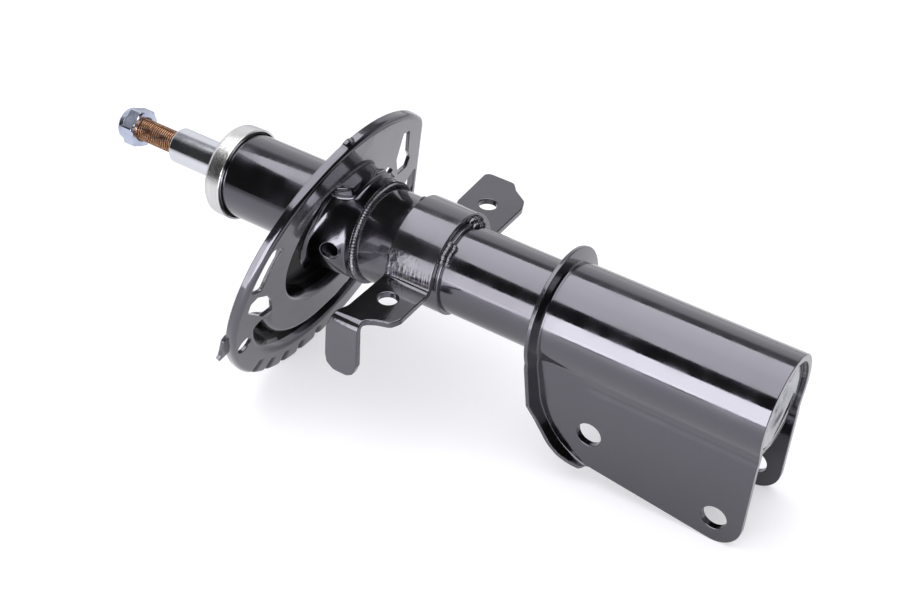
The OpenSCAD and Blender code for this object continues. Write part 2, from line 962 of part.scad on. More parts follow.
module knuckle_bracket_welds() {
    color([0.16, 0.16, 0.17])
        lie_down()
            for (s = clamp_stitches)
                sweep(s[0], s[1]) {
                    difference() {
                        polygon([
                            [tube_r + seat_gap, clamp_len + 3],
                            [tube_r + clamp_bead, clamp_len + 3],
                            [tube_r + clamp_bead, clamp_len + 6.5],
                            [tube_r + seat_gap, clamp_len + 9.5]
                        ]);
                        translate([flare_centre, clamp_len])
                            circle(r = flare_arc_r + seat_gap);
                    }
                    polygon([
                        [tube_r - tube_chamfer + seat_gap, tube_inset - seat_gap],
                        [clamp_r1 - seat_gap, 0.5],
                        [clamp_r1 - seat_gap, tube_inset + tube_chamfer],
                        [tube_r + seat_gap, tube_inset + tube_chamfer - seat_gap]
                    ]);
                }
}

module piston_band() {
    color([0.2, 0.18, 0.15])
        lie_down()
            ring(band_r1, band_r2, band_z, band_z + band_h);
}

module piston_rod() {
    color([0.85, 0.86, 0.88])
        lie_down()
            rotate_extrude()
                polygon([
                    [0, spigot_end],
                    [spigot_r - shoulder_chamfer, spigot_end],
                    [spigot_r, spigot_end + shoulder_chamfer],
                    [spigot_r, rod_bottom],
                    [rod_r, rod_bottom],
                    [rod_r, shoulder - shoulder_chamfer],
                    [rod_r - shoulder_chamfer, shoulder],
                    [stem_r, shoulder],
                    [stem_r, rod_end - end_chamfer],
                    [stem_r - end_chamfer, rod_end],
                    [0, rod_end]
                ]);
}

module piston() {
    groove_z1 = band_z - band_gap;
    groove_z2 = band_z + band_h + band_gap;
    color([0.4, 0.4, 0.42])
        lie_down()
            difference() {
                ring(stack_bore_r, piston_r, piston_z, piston_top);
                ring(band_r1 - band_gap, pressure_r, groove_z1, groove_z2);
                for (i = [0 : port_count - 1])
                    rotate([0, 0, i * 360 / port_count])
                        translate([piston_port_ring, 0, piston_z - cut])
                            cylinder(r = piston_port_r, h = piston_h + 2 * cut);
            }
}

module compression_disc() {
    color([0.7, 0.7, 0.72])
        lie_down()
            ring(stack_bore_r, disc_r, piston_top, rod_bottom);
}

module rebound_disc() {
    color([0.7, 0.7, 0.72])
        lie_down()
            ring(stack_bore_r, disc_r, rebound_disc_z, piston_z);
}

module piston_nut() {
    color([0.6, 0.6, 0.63])
        lie_down()
            difference() {
                translate([0, 0, piston_nut_z])
                    cylinder(r = piston_nut_flats / 2 / cos(30), h = piston_nut_h, $fn = 6);
                translate([0, 0, piston_nut_z - cut])
                    cylinder(r = stack_bore_r, h = piston_nut_h + 2 * cut);
            }
}

module rebound_stop() {
    color([0.6, 0.6, 0.62])
        lie_down()
            ring(rod_r + seat_gap, stop_r, stop_z, stop_z + stop_h);
}

module rebound_bumper() {
    color([0.1, 0.1, 0.1])
        lie_down()
            ring(rod_r + seat_gap, stop_bumper_r, stop_z + stop_h, stop_z + stop_h + stop_bumper_h);
}

// Turned outline that chamfers the hexagon's corners and forms the collar
module nut_turning() {
    hex_top = nut_z + nut_hex_h;
    nut_top = nut_z + nut_h;
    rotate_extrude()
        polygon([
            [nut_bore_r, nut_z],
            [nut_corner_r - nut_chamfer, nut_z],
            [nut_corner_r, nut_z + nut_chamfer / 2],
            [nut_corner_r, hex_top - nut_chamfer],
            [nut_collar_r, hex_top],
            [nut_collar_r, nut_top - nut_dome],
            [nut_collar_r - nut_dome, nut_top],
            [nut_bore_r, nut_top]
        ]);
}

module rod_nut() {
    color([0.62, 0.66, 0.72])
        lie_down()
            rotate([0, 0, nut_turn])
                difference() {
                    intersection() {
                        nut_turning();
                        translate([0, 0, nut_z])
                            cylinder(r = nut_corner_r, h = nut_h, $fn = 6);
                    }
                    translate([0, 0, insert_z])
                        cylinder(r = insert_r + seat_gap, h = insert_h);
                }
}

module nut_insert() {
    color([0.35, 0.4, 0.5])
        lie_down()
            ring(nut_bore_r, insert_r, insert_z, insert_z + insert_h);
}

strut_tube();
base_cup();
pressure_tube();
foot_valve();
foot_valve_disc();
foot_valve_pin();
rod_guide();
guide_bush();
seal_washer();
rod_seal();
bumper_cap();
seat_sleeve();
spring_seat();
seat_weld();
link_bracket();
link_bracket_welds();
knuckle_bracket();
saddle_plate();
knuckle_bracket_welds();
piston_band();
piston_rod();
piston();
compression_disc();
rebound_disc();
piston_nut();
rebound_stop();
rebound_bumper();
rod_nut();
nut_insert();
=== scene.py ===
# Looks of the strut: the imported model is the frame, and detailed pieces stand for its visible nodes.
# Pieces are worked out in the strut's own millimetres, as in part.scad: Z runs up the axis from the
# knuckle end to the rod nut, +X faces up when the strut lies down, and -Y is the hooked ear's side.
import json
import math

import bpy
import numpy as np
from mathutils import Matrix, Vector


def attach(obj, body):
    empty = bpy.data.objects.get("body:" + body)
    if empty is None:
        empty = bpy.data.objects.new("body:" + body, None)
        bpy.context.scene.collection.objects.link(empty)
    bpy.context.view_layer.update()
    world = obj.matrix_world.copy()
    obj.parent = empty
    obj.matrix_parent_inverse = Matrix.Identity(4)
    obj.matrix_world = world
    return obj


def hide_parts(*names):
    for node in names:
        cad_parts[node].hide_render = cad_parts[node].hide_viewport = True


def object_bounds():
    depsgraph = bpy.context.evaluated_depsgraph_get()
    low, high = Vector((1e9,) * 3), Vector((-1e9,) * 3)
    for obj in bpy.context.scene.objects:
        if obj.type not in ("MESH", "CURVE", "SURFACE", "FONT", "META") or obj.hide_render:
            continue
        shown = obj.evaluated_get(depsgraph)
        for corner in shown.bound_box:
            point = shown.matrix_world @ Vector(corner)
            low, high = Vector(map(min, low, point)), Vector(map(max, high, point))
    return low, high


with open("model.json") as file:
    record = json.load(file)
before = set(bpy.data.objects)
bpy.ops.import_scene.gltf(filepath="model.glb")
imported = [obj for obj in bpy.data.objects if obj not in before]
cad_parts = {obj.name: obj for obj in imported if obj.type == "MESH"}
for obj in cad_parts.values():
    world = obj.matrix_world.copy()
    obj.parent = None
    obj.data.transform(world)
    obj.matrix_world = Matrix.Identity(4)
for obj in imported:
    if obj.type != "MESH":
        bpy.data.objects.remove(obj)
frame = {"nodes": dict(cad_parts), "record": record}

CAD_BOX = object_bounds()
MOUNTS = {mount["name"]: mount for mount in frame["record"]["mounts"]}
TUBE = "strut_tube"
ROD = "rod"
SLIP = 0.04  # gap, in millimetres, between pieces that are pressed or slid on

# ---------------------------------------------------------------- sizes in millimetres
SHOULDER = 399.5
ROD_END = 439.0
ROD_BOTTOM = 60.8
SPIGOT_END = 30.7
ROD_R = 11.0
STEM_R = 6.97
THREAD_PITCH = 1.5
THREAD_DEPTH = 0.85

TUBE_R = 25.75
TUBE_WALL = 2.1
TUBE_FOOT = 2.5
TUBE_TOP = 356.0
UPSET_R = 27.0
UPSET_LEN = 8.6
UPSET_CONE = 1.6
LIP_BORE_R = 18.0
LIP_T = 2.4
CAP_R = 28.45
CAP_T = 1.4
CAP_H = 11.8
CAP_CORNER = 2.6
CAP_HOLE_R = 13.5

SLEEVE_R = 27.95
SLEEVE_FOOT = 193.0
SLEEVE_LEN = 67.0

SEAT_R = 88.7
SEAT_T = 2.5
SEAT_TILT = math.radians(15)
SEAT_STATION = 267.2
SEAT_DROP = 11.7
SEAT_SIDE = 14.8
RIM_DEPTH = 6.0
RIM_BEND = 1.7
FLAT_DIST = 78.5
FLAT_ANGLE = math.radians(72.3)
RECESS_AT = (18.0, 4.0)
RECESS_R = 51.0
RECESS_DEPTH = 10.0
CHANNEL_R = (59.0, 71.0)
CHANNEL_DEPTH = 8.0
CHANNEL_ANGLES = (115.0, 255.0)
NECK_STATION = 250.0
NECK_MID_R = 29.24
NECK_STRAIGHT = 6.0
NECK_FOOT_R = (35.5, 4.0, math.radians(-65))
RECESS_SIDE = 30.0
RECESS_SIDE_ANGLE = math.radians(40)

LINK_T = 4.0
EAR_MID = -0.5
LINK_MID_R = 29.99
HOOK_REACH = 77.5
PLAIN_REACH = 88.0
TAB_LOW = -37.0
TAB_BEND = 4.0
LINK_FILLET = 5.0
LINK_HOLES = [(-48.7, 210.6, 5.5), (59.4, 214.9, 5.5)]

CLAMP_T = 4.2
CLAMP_MID_R = 28.1
CLAMP_LEN = 123.0
EAR_Y = 25.7
EAR_DEPTH = 80.6
CORNER = (-66.1, 14.5, 14.5)
FLARE_STATION = 127.3
FLARE_FOLD = np.array([(-38.6, 123.3), (-66.0, 114.0), (-71.3, 90.0)])
FLARE_BEND_R = 2.6
FLARE_BEND = math.radians(84)
FLARE_LEN = 11.2
FLARE_THINNING = 1.7
BOLT_HOLES = [(-48.8, 92.6, 7.25), (-64.9, 15.9, 7.25)]
SADDLE_R = 27.75
SADDLE_T = 3.5
SADDLE_HALF_WIDTH = 22.4

NUT_Z = 428.0
NUT_H = 14.0
NUT_HEX_H = 9.24
NUT_FLATS = 22.0
NUT_COLLAR_R = 10.0
NUT_TURN = math.radians(-7)
INSERT_R = 8.47
INSERT_Z = 438.0
INSERT_H = 3.0

# ---------------------------------------------------------------- the strut's own frame in the row frame
AXIS = np.array(MOUNTS["rod_shoulder"]["axis"])
SIDE = np.array([0.0, 1.0, 0.0])
UP = np.cross(SIDE, AXIS)
ORIGIN = np.array([-48.8, 0, 92.6])
TURN = np.array([UP, SIDE, AXIS])


def to_row(points):
    """Points in the strut's own millimetres, as metres in the row frame."""
    return (np.asarray(points, float) - ORIGIN) @ TURN / 1000


def seat_to_strut(u, v, w):
    """Points in the seat's own frame, where W is square to its face and runs towards the nut."""
    across = u - SEAT_DROP
    x = across * math.cos(SEAT_TILT) + w * math.sin(SEAT_TILT)
    z = SEAT_STATION - across * math.sin(SEAT_TILT) + w * math.cos(SEAT_TILT)
    return np.stack([x, v - SEAT_SIDE, z], -1)


def strut_to_seat(x, y, z):
    """The way back: (u, v, w) in the seat's own frame."""
    ahead = z - SEAT_STATION
    u = x * math.cos(SEAT_TILT) - ahead * math.sin(SEAT_TILT) + SEAT_DROP
    w = x * math.sin(SEAT_TILT) + ahead * math.cos(SEAT_TILT)
    return u, y + SEAT_SIDE, w


# ---------------------------------------------------------------- helpers for shapes
def unit(vectors):
    """Vectors drawn out to a length of 1."""
    return vectors / np.maximum(np.linalg.norm(vectors, axis=-1, keepdims=True), 1e-12)


def smooth(t):
    """0 below 0, 1 above 1, and a smooth step between."""
    t = np.clip(t, 0, 1)
    return t * t * (3 - 2 * t)


def hump(t):
    """1 at 0, falling away smoothly on both sides."""
    return np.exp(-np.square(t))


SHARP_ANGLE = math.radians(32)


def add_object(name, data):
    """A new object in the scene."""
    made = bpy.data.objects.new(name, data)
    bpy.context.scene.collection.objects.link(made)
    return made


def add_piece(name, points, faces, body, nodes, materials, normals=None, face_materials=None):
    """Makes a piece from points in the strut's millimetres, and says what it rides on and stands for."""
    name = f"{name}_detail"
    mesh = bpy.data.meshes.new(name)
    mesh.from_pydata(to_row(points).tolist(), [], faces)
    for material in materials:
        mesh.materials.append(material)
    if face_materials is not None:
        mesh.polygons.foreach_set("material_index", face_materials)
    mesh.shade_smooth()
    mesh.update()
    if normals is None:
        mesh.set_sharp_from_angle(angle=SHARP_ANGLE)
    else:
        mesh.normals_split_custom_set_from_vertices(unit(normals @ TURN).tolist())
    piece = add_object(name, mesh)
    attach(piece, body)
    if nodes:
        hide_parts(*nodes)
    return piece


def rounded(profile, steps=5):
    """Closed outline of (x, y, corner radius) with its corners rounded: points and outward normals."""
    points = []
    normals = []
    count = len(profile)
    for k, (x, y, radius) in enumerate(profile):
        here = np.array([x, y])
        before = unit(here - profile[k - 1][:2])
        after = unit(np.array(profile[(k + 1) % count][:2]) - here)
        turn = math.atan2(before[0] * after[1] - before[1] * after[0], float(before @ after))
        reach = radius * abs(math.tan(turn / 2))
        sign = math.copysign(1, turn)
        start = here - before * reach
        centre = start + sign * radius * np.array([-before[1], before[0]])
        for t in np.linspace(0, 1, steps):
            c, s = math.cos(turn * t), math.sin(turn * t)
            normal = np.array([before[1] * c + before[0] * s, before[1] * s - before[0] * c])
            points.append(centre + sign * radius * normal)
            normals.append(normal)
    return np.array(points), np.array(normals)


def turned(name, profile, body, nodes, material, segments=160, shape=None):
    """Turned piece. Its section runs up the outside and down the inside: radius, station, corner radius."""
    points, outward = rounded(profile)
    angles = np.arange(segments) * 2 * math.pi / segments
    verts = []
    normals = []
    first = []
    for (r, z), (nr, nz) in zip(points, outward):
        first.append((len(verts), r > 1e-6))
        for angle in angles if r > 1e-6 else angles[:1]:
            reach = shape(r, z, angle) if shape else r
            verts.append((reach * math.cos(angle), reach * math.sin(angle), z))
            normals.append((nr * math.cos(angle), nr * math.sin(angle), nz))
    faces = []
    for k in range(len(points)):
        low, low_ring = first[k]
        high, high_ring = first[(k + 1) % len(points)]
        for i in range(segments):
            j = (i + 1) % segments
            ring = [low + i * low_ring, low + j * low_ring, high + j * high_ring, high + i * high_ring]
            ring = list(dict.fromkeys(ring))
            if len(ring) > 2:
                faces.append(ring)
    return add_piece(name, verts, faces, body, nodes, [material], None if shape else np.array(normals))


class Section:
    """A bent line laid out from straight lengths and arcs, and read back by the distance along it."""

    def __init__(self, x, y, heading):
        self.at_end = (x, y, math.radians(heading))
        self.parts = []
        self.length = 0.0

    def run(self, length, curve):
        x, y, heading = self.at_end
        self.parts.append((self.length, x, y, heading, curve))
        self.length += length
        self.at_end = (*self.ahead(x, y, heading, curve, length), heading + curve * length)
        return self

    def line(self, length):
        return self.run(length, 0.0)

    def arc(self, radius, degrees):
        sweep = math.radians(degrees)
        return self.run(abs(sweep) * radius, math.copysign(1 / radius, sweep))

    @staticmethod
    def ahead(x, y, heading, curve, length):
        middle = heading + curve * length / 2
        half = curve * length / 2
        chord = length * np.sinc(half / np.pi)
        return x + chord * np.cos(middle), y + chord * np.sin(middle)

    def at(self, distance):
        starts = [part[0] for part in self.parts]
        index = np.clip(np.searchsorted(starts, distance, side="right") - 1, 0, len(starts) - 1)
        start, x, y, heading, curve = np.array(self.parts)[index].transpose((-1, *range(np.ndim(distance))))
        return self.ahead(x, y, heading, curve, distance - start)

    def wall(self, along, z):
        """Point of the sheet that stands on this line, which is laid out as (Y, X) of the strut."""
        y, x = self.at(along)
        return np.stack([x, y, z], -1)


def outline_distance(outline):
    """Distance outside a closed outline of points, as a function of (x, y)."""
    start = np.asarray(outline, float)
    end = np.roll(start, -1, axis=0)
    edge = end - start

    def distance(x, y):
        nearest = np.full(np.shape(x), np.inf)
        inside = np.zeros(np.shape(x), bool)
        for (ax, ay), by, (ex, ey) in zip(start, end[:, 1], edge):
            t = np.clip(((x - ax) * ex + (y - ay) * ey) / (ex * ex + ey * ey), 0, 1)
            nearest = np.minimum(nearest, np.square(x - ax - t * ex) + np.square(y - ay - t * ey))
            if ey:
                crosses = (ay > y) != (by > y)
                inside ^= crosses & (x < ax + ex * (y - ay) / ey)
        return np.sqrt(nearest) * np.where(inside, -1, 1)

    return distance


def slopes(function, a, b, step=1e-3):
    """Slopes of a function of (a, b) along each of the two."""
    along_a = (function(a + step, b) - function(a - step, b)) / (2 * step)
    along_b = (function(a, b + step) - function(a, b - step)) / (2 * step)
    return along_a, along_b


def steepest(surface, distance, a, b):
    """Tangents of the surface, and the way out of the outline: in (a, b), and its length squared."""
    pa, pb = slopes(surface, a, b)
    fa, fb = slopes(distance, a, b)
    e, f, g = (pa * pa).sum(-1), (pa * pb).sum(-1), (pb * pb).sum(-1)
    det = np.maximum(e * g - f * f, 1e-12)
    out_a = (g * fa - f * fb) / det
    out_b = (e * fb - f * fa) / det
    return pa, pb, out_a, out_b, np.maximum(fa * out_a + fb * out_b, 1e-9)


def trimmed_net(surface, distance, a_values, b_values, period):
    """Net over (a, b) with its outline drawn in smoothly: the (a, b) of its points, and its faces."""
    a, b = (grid.copy() for grid in np.meshgrid(a_values, b_values, indexing="ij"))
    value = distance(a, b)
    pa, pb, out_a, out_b, steepness = steepest(surface, distance, a, b)
    cell_a = np.linalg.norm(pa, axis=-1) * np.median(np.diff(a_values))
    cell_b = np.linalg.norm(pb, axis=-1) * np.gradient(b_values)[None, :]
    near = np.abs(value) < 0.4 * np.minimum(cell_a, cell_b) * np.sqrt(steepness)
    a[near] -= (value * out_a / steepness)[near]
    b[near] -= (value * out_b / steepness)[near]
    value[near] = 0
    rows, columns = a.shape
    points = list(zip(a.ravel(), b.ravel()))
    crossings = {}
    faces = []

    def crossing(p, q):
        key = (min(p, q), max(p, q))
        if key not in crossings:
            p, q = key
            t = value.flat[p] / (value.flat[p] - value.flat[q])
            far_a = points[q][0] + (period if points[q][0] < points[p][0] - period / 2 else 0)
            near_a = points[p][0] + (period if points[p][0] < points[q][0] - period / 2 else 0)
            crossings[key] = len(points)
            points.append((near_a + t * (far_a - near_a), points[p][1] + t * (points[q][1] - points[p][1])))
        return crossings[key]

    last = rows if period else rows - 1
    for i in range(last):
        for j in range(columns - 1):
            k = (i + 1) % rows
            ring = [i * columns + j, k * columns + j, k * columns + j + 1, i * columns + j + 1]
            values = [value.flat[p] for p in ring]
            if max(values) <= 0:
                faces.append(ring)
                continue
            if min(values) >= 0:
                continue
            face = []
            for p, q, vp, vq in zip(ring, ring[1:] + ring[:1], values, values[1:] + values[:1]):
                if vp <= 0:
                    face.append(p)
                if vp * vq < 0:
                    face.append(crossing(p, q))
            if len(face) > 2:
                faces.append(face)
    used = sorted({p for face in faces for p in face})
    place = {p: n for n, p in enumerate(used)}
    faces = [[place[p] for p in face] for face in faces]
    return np.array([points[p] for p in used]), faces


def sheet(name, surface, distance, a_values, b_values, thickness, nodes, paint, edge=0.45, period=0):
    """Sheet-metal piece on the tube, round the middle surface(a, b), cut where distance(a, b) is 0.

    Its cut edges are rounded, and its thickness is a number or a function of (a, b).
    """
    def inset(a, b):
        return distance(a, b) + edge

    net, faces = trimmed_net(surface, inset, a_values, b_values, period)
    a, b = net.T
    middle = surface(a, b)
    pa, pb, out_a, out_b, _ = steepest(surface, inset, a, b)
    normal = unit(np.cross(pa, pb))
    outward = unit(pa * out_a[:, None] + pb * out_b[:, None])
    count = len(net)
    half = (thickness(a, b) if callable(thickness) else np.full(count, thickness))[:, None] / 2
    points = [middle + normal * half, middle - normal * half]
    normals = [normal, -normal]
    all_faces = [list(face) for face in faces] + [[p + count for p in reversed(face)] for face in faces]
    kinds = [0] * len(all_faces)

    edges = {}
    for face in faces:
        for p, q in zip(face, face[1:] + face[:1]):
            edges[(p, q)] = True
    border = [(p, q) for p, q in edges if (q, p) not in edges]
    rim = sorted({p for pair in border for p in pair})
    place = {p: n for n, p in enumerate(rim)}
    out, face_normal, start = outward[rim], normal[rim], middle[rim]
    rings = [np.array(rim)]
    size = 2 * count
    for side, turns in ((1, (30, 60, 90)), (-1, (90, 60, 30))):
        for degrees in turns:
            c, s = math.cos(math.radians(degrees)), math.sin(math.radians(degrees))
            height = side * (half[rim] - edge * (1 - c))
            points.append(start + out * edge * s + face_normal * height)
            normals.append(out * s + face_normal * side * c)
            rings.append(size + np.arange(len(rim)))
            size += len(rim)
    rings.append(np.array(rim) + count)
    for p, q in border:
        i, j = place[p], place[q]
        for upper, lower in zip(rings, rings[1:]):
            all_faces.append([int(upper[j]), int(upper[i]), int(lower[i]), int(lower[j])])
            kinds.append(1)
    return add_piece(
        name, np.concatenate(points), all_faces, TUBE, nodes, paint, np.concatenate(normals), kinds
    )


def pierced(outline, holes):
    """Distance outside an outline with round holes of (x, y, radius), as a function of (x, y)."""
    outside = outline_distance(outline)

    def distance(x, y):
        into_holes = [r - np.hypot(x - hx, y - hy) for hx, hy, r in holes]
        return np.max([outside(x, y), *into_holes], axis=0)

    return distance


def steps(start, end, size):
    """Evenly spaced values from start to end, about the given size apart."""
    return np.linspace(start, end, int(round((end - start) / size)) + 1)


# ---------------------------------------------------------------- materials
def set_input(tree, node, socket, value):
    """Sets an input of a shader node, or links it where the value is another node's output."""
    if isinstance(value, bpy.types.NodeSocket):
        tree.links.new(value, node.inputs[socket])
    else:
        node.inputs[socket].default_value = value


def add_node(tree, kind, inputs, **settings):
    """A shader node with its inputs, by name or place, and its other settings."""
    node = tree.nodes.new(f"ShaderNode{kind}")
    for name, setting in settings.items():
        setattr(node, name, setting)
    for socket, value in inputs.items():
        set_input(tree, node, socket, value)
    return node


def math_node(tree, operation, *values):
    return add_node(tree, "Math", dict(enumerate(values)), operation=operation).outputs[0]


def map_range(tree, *values):
    """A value taken smoothly from one range to another: value, low, high, and the new low and high."""
    node = add_node(tree, "MapRange", dict(enumerate(values)), interpolation_type="SMOOTHSTEP")
    return node.outputs["Result"]


class Finish:
    """A Principled material built up from noise in object space, in metres."""

    def __init__(self, name, colour, metallic=0.0, roughness=0.3, specular=0.5):
        self.material = bpy.data.materials.new(name)
        self.material.use_nodes = True
        self.material.diffuse_color = (*colour, 1)
        self.tree = self.material.node_tree
        self.shader = self.tree.nodes["Principled BSDF"]
        self.set("Base Color", (*colour, 1))
        self.set("Metallic", metallic)
        self.set("Roughness", roughness)
        self.set("Specular IOR Level", specular)
        self.where = add_node(self.tree, "TexCoord", {}).outputs["Object"]
        self.height = None

    def set(self, socket, value):
        set_input(self.tree, self.shader, socket, value)

    def noise(self, scale, detail, stretch=None, rough=0.5):
        """Noise of the given scale per metre, drawn out along an axis where stretch says so."""
        place = self.where
        if stretch:
            turned_to = {"Vector": place, "Rotation": (0, LEAN, 0), "Scale": stretch}
            place = add_node(self.tree, "Mapping", turned_to).outputs["Vector"]
        inputs = {"Vector": place, "Scale": scale, "Detail": detail, "Roughness": rough}
        return add_node(self.tree, "TexNoise", inputs).outputs["Fac"]

    def patches(self, scale, detail, low, high, to_low=0, to_high=1, **noise):
        """Noise, of which the range from low to high is taken to another range."""
        return map_range(self.tree, self.noise(scale, detail, **noise), low, high, to_low, to_high)

    def specks(self, scale, size):
        """Small round spots of about the given size, a share of their spacing."""
        cells = add_node(self.tree, "TexVoronoi", {"Vector": self.where, "Scale": scale})
        return map_range(self.tree, cells.outputs["Distance"], size, size * 0.6, 0, 1)

    def times(self, first, second):
        return math_node(self.tree, "MULTIPLY", first, second)

    def blend(self, value, *colours):
        """Colours spread evenly over 0 to 1."""
        node = add_node(self.tree, "ValToRGB", {"Fac": value})
        ramp = node.color_ramp
        while len(ramp.elements) < len(colours):
            ramp.elements.new(0.5)
        for k, colour in enumerate(colours):
            ramp.elements[k].position = k / (len(colours) - 1)
            ramp.elements[k].color = (*colour, 1)
        self.set("Base Color", node.outputs["Color"])

    def bump(self, value, depth):
        """Adds relief of the given depth in millimetres."""
        inputs = {"Height": value, "Distance": depth / 1000}
        if self.height:
            inputs["Normal"] = self.height
        self.height = add_node(self.tree, "Bump", inputs).outputs["Normal"]
        self.set("Normal", self.height)

    def grain(self, scale, detail, depth, **noise):
        self.bump(self.noise(scale, detail, **noise), depth)


LEAN = math.atan2(AXIS[2], -AXIS[0])
ALONG = (60.0, 1.0, 1.0)
# Where the wrinkles rise and fade again, in metres
WRINKLE_Z = (0.0583, 0.060, 0.062, 0.068)
WRINKLE_Y = (-0.037, -0.034, -0.026, -0.02)
WRINKLE_DEPTH = 0.6
PAINT_TINT = (1.0, 0.95, 1.17, 1)
BLACK = 0.0022
SPECK_DEPTH = 0.0225
# Coat and specular levels of the painted shade in the seat's recess and channel
HOLLOW_SHADE_GLOSS = (0.4, 0.05)


def painted(name, colour, roughness, coat_roughness, coat_ior):
    """Finish of black paint with a clear coat."""
    finish = Finish(name, colour, roughness=roughness, specular=1.0)
    finish.set("Coat Weight", 1.0)
    finish.set("Coat Roughness", coat_roughness)
    finish.set("Coat IOR", coat_ior)
    finish.set("Specular Tint", PAINT_TINT)
    return finish


def gloss_finish(name, wave, tone):
    """Black paint: sharp gloss over slight orange peel, with dust specks and duller blotches."""
    finish = painted(name, (tone, tone, tone * 1.1), 0.12, 0.03, 1.5)
    darker, paler = (tone * 0.7,) * 3, (tone * 1.9, tone * 1.85, tone * 2)
    finish.blend(finish.patches(28, 4, 0.35, 0.75, rough=0.6), darker, paler)
    finish.set("Roughness", finish.patches(45, 5, 0.3, 0.75, 0.07, 0.24))
    finish.grain(210, 2, wave)
    finish.grain(900, 2, wave * 0.12)
    finish.bump(finish.times(finish.specks(330, 0.16), finish.patches(60, 2, 0.5, 0.68)), SPECK_DEPTH)
    return finish


def gloss_black(name, wave=0.035, tone=BLACK):
    return gloss_finish(name, wave, tone).material


def shade_dulled_black(name, gloss):
    """Less glossy paint, tuned so that the seat's hollows look nearly black: painted shade in the recess and
    channel.
    """
    finish = gloss_finish(name, 0.05, BLACK)
    finish.set("Coat Weight", gloss)
    finish.set("Specular IOR Level", gloss)
    return finish.material


def pressed_black(name):
    """Paint with fine wrinkles where the near ear folds away from the strap."""
    finish = gloss_finish(name, 0.06, 0.009)
    place = add_node(finish.tree, "SeparateXYZ", {"Vector": finish.where}).outputs
    within = []
    for axis, (start, full, fading, end) in (("Z", WRINKLE_Z), ("Y", WRINKLE_Y)):
        rising = map_range(finish.tree, place[axis], start, full, 0, 1)
        within.append(finish.times(rising, map_range(finish.tree, place[axis], fading, end, 1, 0)))
    wrinkles = finish.noise(620, 2, (1.0, 0.3, 0.12))
    finish.bump(finish.times(wrinkles, finish.times(*within)), WRINKLE_DEPTH)
    return finish.material


def sheared_edge(name):
    """Painted cut edge with a fine grain."""
    finish = painted(name, (0.004, 0.004, 0.0045), 0.2, 0.05, 1.5)
    finish.blend(finish.patches(300, 3, 0.6, 0.85), (0.003, 0.003, 0.0034), (0.03, 0.03, 0.033))
    finish.grain(700, 4, 0.16, rough=0.7)
    return finish.material


def welded(name):
    """Painted weld bead, lumpy and glittering."""
    finish = painted(name, (0.013, 0.013, 0.014), 0.16, 0.05, 1.7)
    finish.blend(finish.patches(400, 3, 0.5, 0.8), (0.004, 0.004, 0.0044), (0.03, 0.029, 0.03))
    finish.grain(330, 4, 0.75, rough=0.7)
    finish.bump(finish.specks(520, 0.3), 0.2)
    return finish.material


def bare_metal(name, colour, roughness, stretch=ALONG, grain=0.02, tint=0.82, scale=90):
    """Machined or plated metal with a fine grain drawn out along the given axes."""
    finish = Finish(name, colour, metallic=1.0, roughness=roughness)
    darker = tuple(channel * tint for channel in colour)
    finish.blend(finish.patches(scale, 4, 0.3, 0.7, stretch=stretch), darker, colour)
    finish.set("Roughness", finish.patches(scale * 0.7, 3, 0.3, 0.7, roughness * 0.7, roughness * 1.5))
    finish.grain(scale * 3, 3, grain, stretch=stretch)
    return finish.material


def oiled_copper(name):
    """Coppery metal in uneven patches, for the thread's crests."""
    finish = Finish(name, (0.5, 0.27, 0.15), metallic=1.0, roughness=0.28)
    finish.blend(finish.patches(450, 3, 0.2, 0.7), (0.4, 0.17, 0.08), (0.62, 0.3, 0.15), (0.85, 0.55, 0.35))
    finish.set("Roughness", finish.patches(260, 3, 0.3, 0.7, 0.18, 0.42))
    finish.grain(900, 3, 0.03)
    return finish.material


def moulded(name, colour, roughness):
    """Dull surface with a fine grain: rubber, plastic, the nut's insert, and the painted shade in the
    thread's roots.
    """
    finish = Finish(name, colour, roughness=roughness)
    finish.blend(finish.noise(120, 4), tuple(0.7 * c for c in colour), tuple(1.3 * c for c in colour))
    finish.set("Roughness", finish.patches(200, 3, 0.3, 0.7, roughness * 0.8, min(1, roughness * 1.2)))
    finish.grain(1500, 2, 0.02)
    return finish.material


PAINT = gloss_black("tube_paint")
SEAT_PAINT = gloss_black("seat_paint", wave=0.05)
LINK_PAINT = pressed_black("link_paint")
# Duller paints for the painted shade in the seat's recess and channel
SEAT_HOLLOW_SHADES = [shade_dulled_black(f"seat_hollow_shade_{n}", gloss) for n, gloss in enumerate(HOLLOW_SHADE_GLOSS, 1)]
SLEEVE_PAINT = gloss_black("sleeve_paint", wave=0.05, tone=0.004)
KNUCKLE_PAINT = gloss_black("knuckle_paint", wave=0.04)
EDGE = sheared_edge("cut_edge")
BEAD = welded("weld_bead")
CAP_METAL = bare_metal("cap_metal", (0.86, 0.86, 0.85), 0.17, grain=0.03)
CHROME = bare_metal("rod_chrome", (0.84, 0.86, 0.91), 0.1, grain=0.004, tint=0.93)
THREAD = oiled_copper("rod_thread")
# Painted shade in the thread's roots: a dark dull brown on the faces between the crests
THREAD_ROOT_SHADE = moulded("thread_root_shade", (0.035, 0.014, 0.008), 0.35)
ZINC = bare_metal("nut_zinc", (0.64, 0.7, 0.85), 0.18, stretch=None, grain=0.02, scale=140)
INSERT = moulded("insert_metal", (0.05, 0.09, 0.2), 0.4)
CUP_METAL = bare_metal("base_metal", (0.6, 0.61, 0.63), 0.24, stretch=None, grain=0.05)
INNER = {
    "base_metal": CUP_METAL,
    "inner_steel": bare_metal("inner_steel", (0.62, 0.62, 0.64), 0.2),
    "sintered_iron": bare_metal("sintered_iron", (0.32, 0.31, 0.3), 0.45, stretch=None, grain=0.06),
    "bush_bronze": bare_metal("bush_bronze", (0.66, 0.49, 0.28), 0.3),
    "seal_rubber": moulded("seal_rubber", (0.02, 0.02, 0.02), 0.6),
    "band_polymer": moulded("band_polymer", (0.06, 0.05, 0.04), 0.5),
}


